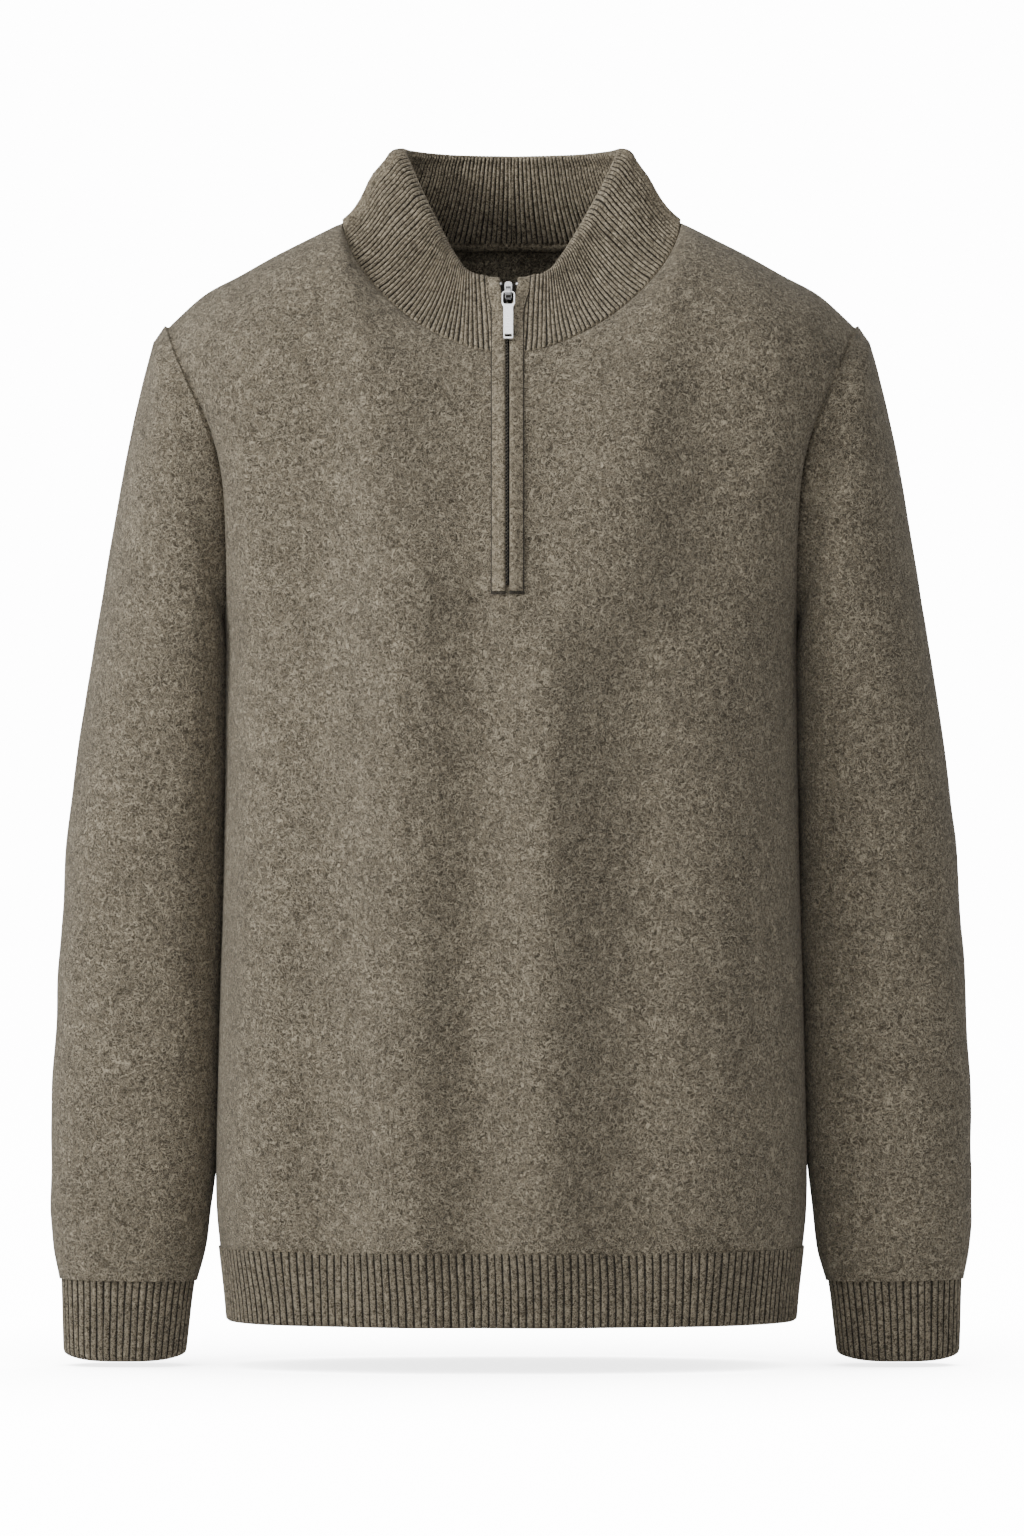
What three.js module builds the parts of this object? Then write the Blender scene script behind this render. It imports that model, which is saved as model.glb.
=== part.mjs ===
import * as THREE from 'three';

// Wall thicknesses and gaps, in millimetres
// The front faces -Y, up is +Z, and zero is between the side neck points
const KNIT_WALL = 2.4;
const SEAM_GAP = 0.3;
const RIB_WALL = 2.8;
const RIB_HEIGHT = 0.8;

// Places down the body, measured as a drop below the side neck points
const ARMPIT_DROP = 255;
const HEM_TOP = 649.5;
const HEM_BOTTOM = 694.5;

// Neck seam: half width, drop at the front and the back, depth at the front and the back
const NECK = { half: 107, frontDrop: 83, backDrop: 10, frontDepth: 87, backDepth: 75, power: 1.65 };

// The zip lies a little to one side of the middle
const ZIP_X = -2.5;
const SLIT_HALF = 4.5;
const SLIT_END = 236;

// Counts of cells and ribs in the nets of cloth
const SHOULDER_CELLS = 8;
const FRONT_NECK_CELLS = 7;
const BACK_NECK_CELLS = 5;
const ARMHOLE_CELLS = 12;
const FRONT_LOWER_CELLS = 15;
const BACK_LOWER_CELLS = 11;
const NECK_ANGLE = Math.PI / 3;
const HEM_RIBS = 100;
const CUFF_RIBS = 50;
const COLLAR_RIBS = 88;
const SECTION_POWER = 2 / 2.4;
const SLEEVE_POWER = 2 / 2.25;

// The body's round sections from the armpit to the hem
const BODY = [
  { drop: 255, half: 181.2, front: 129, back: 119 },
  { drop: 303, half: 181.0, front: 128, back: 117 },
  { drop: 387, half: 181.7, front: 124, back: 112 },
  { drop: 492, half: 184.6, front: 117, back: 107 },
  { drop: 594, half: 187.0, front: 110, back: 103 },
  { drop: 625, half: 186.6, front: 108, back: 101 },
  { drop: 650, half: 184.2, front: 105, back: 99 },
  { drop: 682, half: 180.7, front: 103, back: 97 },
  { drop: 720, half: 178.0, front: 102, back: 96 },
];

// Soft folds that hang down the front and the back: place across, half width, height
const FRONT_FOLDS = [
  { x: -150, width: 24, height: 2.6 },
  { x: -105, width: 22, height: -2.8 },
  { x: -61, width: 20, height: 3.0 },
  { x: -20, width: 18, height: -2.2 },
  { x: 24, width: 20, height: 3.0 },
  { x: 76, width: 24, height: -3.0 },
  { x: 138, width: 28, height: 3.0 },
];
const BACK_FOLDS = [
  { x: -128, width: 26, height: 2.8 },
  { x: -78, width: 22, height: -2.6 },
  { x: -30, width: 22, height: 2.4 },
  { x: 18, width: 20, height: -2.6 },
  { x: 66, width: 24, height: 2.8 },
  { x: 118, width: 24, height: -2.4 },
];

// Shoulder seam from the neck to the sleeve
const SHOULDER = [
  { along: 0, x: 107, z: 0, y: 0 },
  { along: 0.2, x: 128, z: -10.5, y: 0.5 },
  { along: 0.4, x: 150, z: -21.5, y: 1 },
  { along: 0.6, x: 172, z: -33.8, y: 1.5 },
  { along: 0.8, x: 194.5, z: -46, y: 2 },
  { along: 1, x: 216.5, z: -65.5, y: 2 },
];

// Armhole seam from the armpit up to the shoulder, round the front and round the back
const FRONT_ARMHOLE = [
  { along: 0, x: 181.2, y: 0, z: -255 },
  { along: 0.12, x: 179, y: -26, z: -240 },
  { along: 0.28, x: 178, y: -43, z: -206 },
  { along: 0.44, x: 180, y: -53, z: -170 },
  { along: 0.6, x: 188.5, y: -58, z: -135 },
  { along: 0.74, x: 199, y: -54, z: -109 },
  { along: 0.86, x: 208.5, y: -42, z: -88 },
  { along: 0.94, x: 213.8, y: -24, z: -73.5 },
  { along: 0.975, x: 215.8, y: -11, z: -67.8 },
  { along: 1, x: 216.5, y: 2, z: -65.5 },
];
const BACK_ARMHOLE = [
  { along: 0, x: 181.2, y: 0, z: -255 },
  { along: 0.12, x: 181, y: 30, z: -240 },
  { along: 0.28, x: 182, y: 51, z: -206 },
  { along: 0.44, x: 185, y: 62, z: -170 },
  { along: 0.6, x: 191, y: 66, z: -135 },
  { along: 0.74, x: 199.5, y: 62, z: -109 },
  { along: 0.86, x: 208.5, y: 48, z: -87 },
  { along: 0.94, x: 213.8, y: 29, z: -73.5 },
  { along: 0.975, x: 215.8, y: 15, z: -67.8 },
  { along: 1, x: 216.5, y: 2, z: -65.5 },
];

// Sleeve rings from the armhole to the cuff
// Outer and inner edge as seen from the front, middle and half depth
const SLEEVE = [
  { run: 0, outX: 224.5, outZ: -77, inX: 184.0, inZ: -259, y: 2, deep: 64 },
  { run: 0.06, outX: 233, outZ: -103, inX: 184.8, inZ: -266, y: 3, deep: 66 },
  { run: 0.13, outX: 242.5, outZ: -140, inX: 185.2, inZ: -278, y: 4, deep: 66 },
  { run: 0.21, outX: 250.5, outZ: -182, inX: 185.2, inZ: -298, y: 6, deep: 65 },
  { run: 0.3, outX: 259, outZ: -230, inX: 185.0, inZ: -326, y: 8, deep: 62 },
  { run: 0.39, outX: 267.5, outZ: -283, inX: 185.2, inZ: -360, y: 10, deep: 59 },
  { run: 0.48, outX: 275.5, outZ: -341, inX: 186.0, inZ: -402, y: 12, deep: 56 },
  { run: 0.58, outX: 282.5, outZ: -408, inX: 187.8, inZ: -452, y: 13, deep: 53 },
  { run: 0.68, outX: 287, outZ: -476, inX: 189.3, inZ: -506, y: 12, deep: 49 },
  { run: 0.78, outX: 289.8, outZ: -545, inX: 190.6, inZ: -560, y: 9, deep: 45 },
  { run: 0.87, outX: 290.6, outZ: -603, inX: 190.6, inZ: -609, y: 6, deep: 41 },
  { run: 0.94, outX: 288.4, outZ: -645, inX: 195, inZ: -648, y: 3, deep: 36 },
  { run: 1, outX: 284.2, outZ: -668, inX: 200.5, inZ: -669, y: 1, deep: 30 },
];
const SLEEVE_RINGS = 15;

// Cuff sections: drop, middle across, half width, half depth
const CUFF = [
  { drop: 668.8, middle: 243.2, half: 40.2, deep: 27.6 },
  { drop: 716, middle: 244.6, half: 38.2, deep: 25.2 },
  { drop: 720, middle: 244.6, half: 37.4, deep: 24.4 },
];

// Collar's rolled top edge, by the angle from the side round to the middle of the front or the back
const COLLAR_TOP_FRONT = [
  { angle: 0, x: 70, y: 12, z: 43.5 },
  { angle: 7, x: 67.2, y: 3.5, z: 38 },
  { angle: 20, x: 57, y: -13, z: 18 },
  { angle: 31.4, x: 46.3, y: -27, z: -0.5 },
  { angle: 56.8, x: 32.6, y: -48, z: -24.5 },
  { angle: 75.5, x: 21.5, y: -57.5, z: -35.5 },
  { angle: 90, x: 0, y: -63, z: -38.5 },
];
const COLLAR_TOP_BACK = [
  { angle: 0, x: 70, y: 12, z: 43.5 },
  { angle: 30, x: 62, y: 37, z: 43 },
  { angle: 60, x: 37, y: 55, z: 42 },
  { angle: 90, x: 0, y: 62, z: 41.5 },
];

// Collar's wall from the seam up to the roll: share of the height, outer and inner face off the straight line
const COLLAR_WALL = [
  { up: 0, outer: 0, inner: -3 },
  { up: 0.16, outer: -2.2, inner: -6.2 },
  { up: 0.42, outer: -3.2, inner: -8 },
  { up: 0.72, outer: -1.4, inner: -6.4 },
  { up: 0.9, outer: 0.3, inner: -4.8 },
  { up: 0.985, outer: -0.6, inner: -3.9 },
  { up: 1.015, outer: -1.8, inner: -2.9 },
];

// Strips beside the zip and the parts of the zip, as distances across from the zip's middle
const STRIPS = { near: 1, far: 10.4, thick: 2.4, end: 238, overTop: 7 };
const TAPE = { near: 0.15, far: 4.1, thick: 1, sink: 1.5, end: 232 };
const CHAIN = { half: 1.3, thick: 1.2 };
const SLIDER = { width: 4.2, plate: 1.6, bridgeRise: 3.75, bar: 1.1 };
const PULL = { loopWidth: 8.6, loopLength: 11, wire: 1.1, tabWidth: 6.3, tabLength: 23.5, thick: 1.2 };
const NECK_TAPE = { wide: 3.6, thick: 1, below: 0.6 };

const vec = (x, y, z) => new THREE.Vector3(x, y, z);
const clamp01 = (value) => Math.min(Math.max(value, 0), 1);
const smooth = (value) => clamp01(value) ** 2 * (3 - 2 * clamp01(value));
const steps = (count) => Array.from({ length: count + 1 }, (_, i) => i / count);

// Smooth reading of one column of a table at a place between its rows
function readTable(rows, key, place, field) {
  const last = rows.length - 1;
  const row = (n) => rows[Math.min(Math.max(n, 0), last)];
  const slope = (n) => (row(n + 1)[field] - row(n - 1)[field]) / (row(n + 1)[key] - row(n - 1)[key]);
  let i = 0;
  while (i < last - 1 && place > rows[i + 1][key]) i += 1;
  const span = rows[i + 1][key] - rows[i][key];
  const t = clamp01((place - rows[i][key]) / span);
  const start = (1 + 2 * t) * (1 - t) ** 2 * rows[i][field] + t * (1 - t) ** 2 * span * slope(i);
  const end = t * t * (3 - 2 * t) * rows[i + 1][field] + t * t * (t - 1) * span * slope(i + 1);
  return start + end;
}

function readPoint(rows, key, place, side = 1) {
  const read = (field) => readTable(rows, key, place, field);
  return vec(side * read('x'), read('y'), read('z'));
}

// Height of the hanging folds at a point, fading in below the chest and out at the hem
function foldHeight(folds, x, drop) {
  const fade = smooth((drop - 190) / 300) * (1 - 0.8 * smooth((drop - 640) / 50));
  let height = 0;
  for (const fold of folds) {
    const offset = (x - fold.x * (1 - 0.0001 * (drop - 450))) / fold.width;
    height += fold.height * Math.exp(-offset * offset);
  }
  return height * fade;
}

// A point on the body's section; angle 0 is one side and a half turn is the other
function bodyPoint(facing, angle, drop) {
  const isFront = facing < 0;
  const half = readTable(BODY, 'drop', drop, 'half');
  const depth = readTable(BODY, 'drop', drop, isFront ? 'front' : 'back');
  const across = Math.cos(angle);
  const out = Math.sin(angle) ** SECTION_POWER;
  const x = -half * Math.sign(across) * Math.abs(across) ** SECTION_POWER;
  const folds = foldHeight(isFront ? FRONT_FOLDS : BACK_FOLDS, x, drop) * smooth(out * 1.6);
  return vec(x, facing * (depth * out + folds), -drop);
}

// Neck seam; angle 0 is the side neck point and 90 degrees the middle
function neckPoint(facing, angle, side) {
  const isFront = facing < 0;
  const x = NECK.half * Math.cos(angle) ** (2 / NECK.power);
  const depth = isFront ? NECK.frontDepth : NECK.backDepth;
  const fall = isFront ? NECK.frontDrop : NECK.backDrop;
  const share = x / NECK.half;
  const y = facing * depth * (1 - share ** 2) ** 0.5;
  const z = -fall * (1 - share ** NECK.power) ** (1 / NECK.power);
  return vec(side * x, y, z);
}

// Neck seam as the straight runs between the panel's columns
function neckEdge(facing, angle, side) {
  const end = facing < 0 ? neckAngleAt(SLIT_HALF) : Math.PI / 2;
  const cells = facing < 0 ? FRONT_NECK_CELLS : BACK_NECK_CELLS;
  const place = cells * Math.min(angle / end, 1);
  const cell = Math.min(Math.floor(place), cells - 1);
  const start = neckPoint(facing, end * cell / cells, side);
  return start.lerp(neckPoint(facing, end * (cell + 1) / cells, side), place - cell);
}

const neckAngleAt = (x) => Math.acos((Math.abs(x) / NECK.half) ** (NECK.power / 2));

// Shifts the middle of the front over to the zip
function towardZip(point) {
  const share = Math.min(Math.abs(point.x) / NECK.half, 1);
  const front = clamp01(-point.y / 55);
  point.x += ZIP_X * (1 - share ** 2) * front;
  return point;
}

// Upper edge of the front or the back: the shoulder seam and then the neck seam
function topPoint(facing, column, side, neckCells) {
  if (column <= SHOULDER_CELLS) return readPoint(SHOULDER, 'along', 1 - column / SHOULDER_CELLS, side);
  const neckEnd = facing < 0 ? neckAngleAt(SLIT_HALF) : Math.PI / 2;
  return neckPoint(facing, neckEnd * (column - SHOULDER_CELLS) / neckCells, side);
}

// Angle on the body's section for the same column
function columnAngle(facing, column, neckCells, drop) {
  if (column <= SHOULDER_CELLS) return NECK_ANGLE * column / SHOULDER_CELLS;
  const half = readTable(BODY, 'drop', drop, 'half');
  const end = facing < 0 ? Math.acos((SLIT_HALF / half) ** (1 / SECTION_POWER)) : Math.PI / 2;
  return NECK_ANGLE + (end - NECK_ANGLE) * (column - SHOULDER_CELLS) / neckCells;
}

// A point of the panel above the armpit, blended between the chest, the armhole and the top edge
function upperPoint(facing, column, rise, side, neckCells) {
  const armhole = readPoint(facing < 0 ? FRONT_ARMHOLE : BACK_ARMHOLE, 'along', rise, side);
  const up = (armhole.z + ARMPIT_DROP) / (ARMPIT_DROP - 65.5);
  const angle = columnAngle(facing, column, neckCells, ARMPIT_DROP);
  const bottom = bodyPoint(facing, angle, ARMPIT_DROP);
  bottom.x *= -side;
  const top = topPoint(facing, column, side, neckCells);
  const round = smooth(Math.abs(top.x) / 145);
  const chest = up ** (facing < 0 ? 1.8 : 2.6);
  const shoulder = 1 - Math.sqrt(Math.max(0, 1 - up ** 2));
  const turn = round * shoulder + (1 - round) * chest;
  const point = bottom.clone().lerp(top, up);
  point.y = bottom.y + (top.y - bottom.y) * turn;
  const drop = ARMPIT_DROP * (1 - up);
  point.y += facing * foldHeight(facing < 0 ? FRONT_FOLDS : BACK_FOLDS, point.x, drop) * smooth(1 - up * 2);
  const share = column / (SHOULDER_CELLS + neckCells);
  const straightX = side * (181.2 + (216.5 - 181.2) * up);
  const straightY = 2 * shoulder;
  point.x += (armhole.x - straightX) * (1 - share) ** 9;
  point.y += (armhole.y - straightY) * (1 - share) ** (1.5 + 5 * (1 - up) ** 2);
  return point;
}

// Outward direction at the armhole seam, from down at the armpit to up at the shoulder
function armholeOut(facing, rise, side) {
  const turn = Math.PI * smooth(rise * 0.92 + 0.08 * smooth(rise)) ** 0.8;
  return vec(side * 0.42, facing * Math.sin(turn), -Math.cos(turn)).normalize();
}

// Directions square to a net of points
function netNormals(net, sign, wraps = false) {
  const rows = net.length;
  const columns = net[0].length;
  const column = (c) => (wraps ? (c + columns) % columns : Math.min(Math.max(c, 0), columns - 1));
  const row = (r) => Math.min(Math.max(r, 0), rows - 1);
  return net.map((line, r) => line.map((_, c) => {
    const across = net[r][column(c + 1)].clone().sub(net[r][column(c - 1)]);
    const down = net[row(r + 1)][c].clone().sub(net[row(r - 1)][c]);
    return across.cross(down).normalize().multiplyScalar(sign);
  }));
}

const moved = (point, direction, distance) => point.clone().addScaledVector(direction, distance);

// Turns a list of triangles into one body that faces out
function bodyGeometry(points, faces) {
  let volume = 0;
  for (const [a, b, c] of faces) volume += points[a].dot(points[b].clone().cross(points[c]));
  const order = volume < 0 ? faces.map(([a, b, c]) => [a, c, b]) : faces;
  const geometry = new THREE.BufferGeometry();
  geometry.setAttribute('position', new THREE.Float32BufferAttribute(points.flatMap((p) => p.toArray()), 3));
  geometry.setIndex(order.flat());
  geometry.computeVertexNormals();
  return geometry;
}

// A wall between an outer and an inner net of the same size, with rims round every edge and opening
function wallGeometry(outer, inner, isOpen = () => false, wraps = false) {
  const rows = outer.length;
  const columns = outer[0].length;
  const cells = wraps ? columns : columns - 1;
  const points = [...outer.flat(), ...inner.flat()];
  const at = (layer, r, c) => layer * rows * columns + r * columns + (c % columns);
  const faces = [];
  const filled = (r, c) => {
    if (r < 0 || r >= rows - 1) return false;
    if (!wraps && (c < 0 || c >= cells)) return false;
    return !isOpen(r, (c + cells) % cells);
  };
  const rim = (a, b) => {
    const [outerA, outerB, innerA, innerB] = [at(0, ...a), at(0, ...b), at(1, ...a), at(1, ...b)];
    faces.push([outerB, outerA, innerA], [outerB, innerA, innerB]);
  };
  for (let r = 0; r < rows - 1; r += 1) {
    for (let c = 0; c < cells; c += 1) {
      if (!filled(r, c)) continue;
      const [a, b, d, e] = [at(0, r, c), at(0, r, c + 1), at(0, r + 1, c + 1), at(0, r + 1, c)];
      const [f, g, h, i] = [at(1, r, c), at(1, r, c + 1), at(1, r + 1, c + 1), at(1, r + 1, c)];
      faces.push([a, b, d], [a, d, e]);
      faces.push([f, h, g], [f, i, h]);
      if (!filled(r - 1, c)) rim([r, c], [r, c + 1]);
      if (!filled(r + 1, c)) rim([r + 1, c + 1], [r + 1, c]);
      if (!filled(r, c - 1)) rim([r + 1, c], [r, c]);
      if (!filled(r, c + 1)) rim([r, c + 1], [r + 1, c + 1]);
    }
  }
  return bodyGeometry(points, faces);
}

// Triangles between two runs of points with unequal counts
function stitch(faces, runA, runB) {
  const lastA = runA.length - 1;
  const lastB = runB.length - 1;
  let a = 0;
  let b = 0;
  while (a < lastA || b < lastB) {
    if (b === lastB || (a < lastA && (a + 1) / lastA <= (b + 1) / lastB)) {
      faces.push([runA[a], runA[a + 1], runB[b]]);
      a += 1;
    } else {
      faces.push([runA[a], runB[b + 1], runB[b]]);
      b += 1;
    }
  }
}

// A ribbed wall: a fine outer net over a plainer inner net, open or closed round
function ribbedGeometry(outer, inner, closed) {
  const points = [...outer.flat(), ...inner.flat()];
  const faces = [];
  const wide = outer[0].length;
  const narrow = inner[0].length;
  const outerAt = (r, c) => r * wide + (c % wide);
  const innerAt = (r, c) => outer.length * wide + r * narrow + (c % narrow);
  const quads = (rows, cells, at, flip) => {
    for (let r = 0; r < rows - 1; r += 1) {
      for (let c = 0; c < cells; c += 1) {
        const [a, b, d, e] = [at(r, c), at(r, c + 1), at(r + 1, c + 1), at(r + 1, c)];
        faces.push(flip ? [a, d, b] : [a, b, d], flip ? [a, e, d] : [a, d, e]);
      }
    }
  };
  const outerCells = closed ? wide : wide - 1;
  const innerCells = closed ? narrow : narrow - 1;
  quads(outer.length, outerCells, outerAt, false);
  quads(inner.length, innerCells, innerAt, true);
  const run = (count, at) => Array.from({ length: count + 1 }, (_, i) => at(i));
  const lastOuter = outer.length - 1;
  const lastInner = inner.length - 1;
  const topOuter = run(outerCells, (c) => outerAt(0, outerCells - c));
  stitch(faces, topOuter, run(innerCells, (c) => innerAt(0, innerCells - c)));
  stitch(faces, run(outerCells, (c) => outerAt(lastOuter, c)), run(innerCells, (c) => innerAt(lastInner, c)));
  if (!closed) {
    stitch(faces, run(lastOuter, (r) => outerAt(r, 0)), run(lastInner, (r) => innerAt(r, 0)));
    const endOuter = run(lastOuter, (r) => outerAt(lastOuter - r, outerCells));
    stitch(faces, endOuter, run(lastInner, (r) => innerAt(lastInner - r, innerCells)));
  }
  return bodyGeometry(points, faces);
}

// Net of the front or back panel from the top edge down to the hem, with its outward directions
function panelNet(facing) {
  const isFront = facing < 0;
  const neckCells = isFront ? FRONT_NECK_CELLS : BACK_NECK_CELLS;
  const half = SHOULDER_CELLS + neckCells;
  const columns = [];
  for (let c = 0; c <= half; c += 1) columns.push({ column: c, side: -1 });
  for (let c = isFront ? half : half - 1; c >= 0; c -= 1) columns.push({ column: c, side: 1 });
  const upper = steps(ARMHOLE_CELLS).reverse().map((rise) => columns.map(({ column, side }) => (
    upperPoint(facing, column, rise, side, neckCells))));
  const lower = steps(isFront ? FRONT_LOWER_CELLS : BACK_LOWER_CELLS).slice(1).map((share) => {
    const drop = ARMPIT_DROP + (HEM_TOP - ARMPIT_DROP) * share;
    return columns.map(({ column, side }) => {
      const angle = columnAngle(facing, column, neckCells, drop);
      return bodyPoint(facing, side < 0 ? angle : Math.PI - angle, drop);
    });
  });
  const net = [...upper, ...lower];
  if (isFront) net.flat().forEach(towardZip);
  return { net, columns, normals: edgeNormals(net, columns, facing) };
}

// Outward directions, made to agree with the neighbour at the side, shoulder and armhole seams
function edgeNormals(net, columns, facing) {
  const normals = netNormals(net, facing < 0 ? -1 : 1);
  columns.forEach(({ column, side }, c) => {
    if (column <= SHOULDER_CELLS) normals[0][c].setY(0).normalize();
    if (column > 0) return;
    net.forEach((_, r) => {
      if (r <= ARMHOLE_CELLS) normals[r][c].copy(armholeOut(facing, 1 - r / ARMHOLE_CELLS, side));
      else normals[r][c].setY(0).normalize();
    });
  });
  return normals;
}

// Front or back as a knit wall; the front has the zip's slit in its middle column of cells
function panelGeometry(facing) {
  const { net, normals } = panelNet(facing);
  const seam = facing * SEAM_GAP / 2;
  const shift = (point) => point.clone().add(vec(0, seam, 0));
  const outer = net.map((line) => line.map(shift));
  const inner = net.map((line, r) => line.map((point, c) => shift(moved(point, normals[r][c], -KNIT_WALL))));
  const middle = (net[0].length - 2) / 2;
  const isOpen = (r, c) => facing < 0 && c === middle && -net[r + 1][c].z < SLIT_END;
  return wallGeometry(outer, inner, isOpen);
}

// The armhole ring that a sleeve starts from: up the front and down the back
function armholeRing(side) {
  const ring = [];
  for (let i = 0; i <= ARMHOLE_CELLS; i += 1) ring.push({ facing: -1, rise: i / ARMHOLE_CELLS });
  for (let i = ARMHOLE_CELLS - 1; i > 0; i -= 1) ring.push({ facing: 1, rise: i / ARMHOLE_CELLS });
  return ring.map(({ facing, rise }) => {
    const neckCells = facing < 0 ? FRONT_NECK_CELLS : BACK_NECK_CELLS;
    const point = upperPoint(facing, 0, rise, side, neckCells);
    const out = armholeOut(facing, rise, side);
    return { point, out, rise };
  });
}

// A later ring of the sleeve, at a share of its length
function sleeveRing(side, run, count) {
  const read = (field) => readTable(SLEEVE, 'run', run, field);
  const outerEdge = vec(side * read('outX'), 0, read('outZ'));
  const innerEdge = vec(side * read('inX'), 0, read('inZ'));
  const middle = outerEdge.clone().lerp(innerEdge, 0.5);
  const across = outerEdge.sub(innerEdge).multiplyScalar(0.5);
  const power = (value) => Math.sign(value) * Math.abs(value) ** SLEEVE_POWER;
  return Array.from({ length: count }, (_, i) => {
    const angle = 2 * Math.PI * i / count;
    const point = moved(middle, across, -power(Math.cos(angle)));
    point.y = read('y') - read('deep') * power(Math.sin(angle));
    return point;
  });
}

// Sleeve as a knit tube from the armhole seam to the cuff
function sleeveGeometry(side) {
  const start = armholeRing(side);
  const net = [start.map(({ point, rise }) => {
    const gap = SEAM_GAP * (1.5 + 2.6 * (1 - rise) ** 4);
    return moved(point, vec(side * 0.8, 0, -0.6), gap);
  })];
  for (const run of steps(SLEEVE_RINGS)) net.push(sleeveRing(side, run, start.length));
  const normals = netNormals(net, side, true);
  start.forEach(({ out }, i) => normals[0][i].copy(out));
  const inner = net.map((line, r) => line.map((point, c) => moved(point, normals[r][c], -KNIT_WALL)));
  return wallGeometry(net, inner, undefined, true);
}

// Evenly spaced points along a run, with the outward direction in plan
function spread(run, count, closed) {
  const line = closed ? [...run, run[0]] : run;
  const lengths = [0];
  for (let i = 1; i < line.length; i += 1) lengths.push(lengths[i - 1] + line[i].distanceTo(line[i - 1]));
  const total = lengths[line.length - 1];
  const pointAt = (place) => {
    let i = 1;
    while (i < line.length - 1 && lengths[i] < place) i += 1;
    const share = (place - lengths[i - 1]) / (lengths[i] - lengths[i - 1]);
    return line[i - 1].clone().lerp(line[i], clamp01(share));
  };
  return Array.from({ length: closed ? count : count + 1 }, (_, i) => {
    const place = total * i / count;
    const before = pointAt(closed ? (place - 1 + total) % total : Math.max(place - 1, 0));
    const after = pointAt(closed ? (place + 1) % total : Math.min(place + 1, total));
    const along = after.sub(before);
    const out = vec(along.y, -along.x, 0).normalize();
    return { point: pointAt(place), out };
  });
}

// Outer and inner nets of a ribbed band from its plain sections
function ribbedBand(sections, ribs, closed) {
  const outer = sections.map((section) => spread(section, ribs * 2, closed).map(({ point, out }, i) => (
    moved(point, out, i % 2 === 1 ? RIB_HEIGHT - 0.3 : -0.3))));
  const inner = sections.map((section) => spread(section, ribs / 2, closed).map(({ point, out }) => (
    moved(point, out, -RIB_WALL))));
  return ribbedGeometry(outer, inner, closed);
}

// Half of the hem's rib, hanging on the front or the back
function hemGeometry(facing) {
  const angles = steps(90).map((share) => share * Math.PI);
  const section = (drop) => {
    const line = angles.map((angle) => bodyPoint(facing, angle, drop).add(vec(0, facing * SEAM_GAP / 2, 0)));
    return facing < 0 ? line.map(towardZip) : line.reverse();
  };
  return ribbedBand([section(HEM_TOP + SEAM_GAP), section(HEM_BOTTOM)], HEM_RIBS, false);
}

// Ribbed cuff; its lower edge hangs a little lower in the middle
function cuffGeometry(side) {
  const power = (value) => Math.sign(value) * Math.abs(value) ** SLEEVE_POWER;
  const section = ({ drop, middle, half, deep }) => steps(72).slice(1).map((share) => {
    const angle = 2 * Math.PI * share;
    const sag = drop > 700 ? 3.5 * Math.abs(Math.cos(angle)) ** 3 : 0;
    return vec(side * middle + half * power(Math.cos(angle)), deep * power(Math.sin(angle)), -drop + sag);
  });
  return ribbedBand(CUFF.map(section), CUFF_RIBS, true);
}

// Seam and top of the collar at a share of the way round, from one side of the zip to the other
function collarEnds(round) {
  const reach = 1 + neckAngleAt(SLIT_HALF) / (Math.PI / 2);
  const turn = (2 * round - 1) * reach;
  const side = turn < 0 ? -1 : 1;
  const facing = Math.abs(turn) < 1 ? 1 : -1;
  const degrees = 90 * Math.abs(1 - Math.abs(turn));
  const seam = neckEdge(facing, degrees * Math.PI / 180, side);
  seam.y += facing * SEAM_GAP / 2;
  const top = readPoint(facing > 0 ? COLLAR_TOP_BACK : COLLAR_TOP_FRONT, 'angle', degrees, side);
  return { seam, top };
}

// Shares of the way round the collar that are evenly spaced along its seam
function evenRounds(count) {
  const fine = 720;
  const lengths = [0];
  for (let i = 1; i <= fine; i += 1) {
    const gap = collarEnds(i / fine).seam.distanceTo(collarEnds((i - 1) / fine).seam);
    lengths.push(lengths[i - 1] + gap);
  }
  let i = 0;
  return steps(count).map((share) => {
    while (i < fine - 1 && lengths[i + 1] < share * lengths[fine]) i += 1;
    return (i + clamp01((share * lengths[fine] - lengths[i]) / (lengths[i + 1] - lengths[i]))) / fine;
  });
}

// A point of the collar's wall: how far up, and the outer or inner face
function collarPoint(round, row, face, lift = 0) {
  const { seam, top } = collarEnds(round);
  const before = collarEnds(Math.max(round - 0.004, 0));
  const after = collarEnds(Math.min(round + 0.004, 1));
  const along = after.seam.sub(before.seam).add(after.top.sub(before.top));
  const out = along.cross(top.clone().sub(seam)).normalize();
  if (out.x * (seam.x + top.x) + out.y * (seam.y + top.y) < 0) out.negate();
  const hollow = smooth((Math.abs(seam.x) - 12) / 60);
  const bow = row.outer - (1 - hollow) * 0.8 * Math.min(row.outer, 0) * (row.up < 0.9 ? 1 : 0);
  const offset = face === 'outer' ? bow : row.inner + bow - row.outer;
  const base = face === 'outer' ? 0.008 : 0.035;
  const point = seam.clone().lerp(top, row.up + base * (1 - row.up));
  point.addScaledVector(out, offset + lift);
  return towardZip(point);
}

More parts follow.
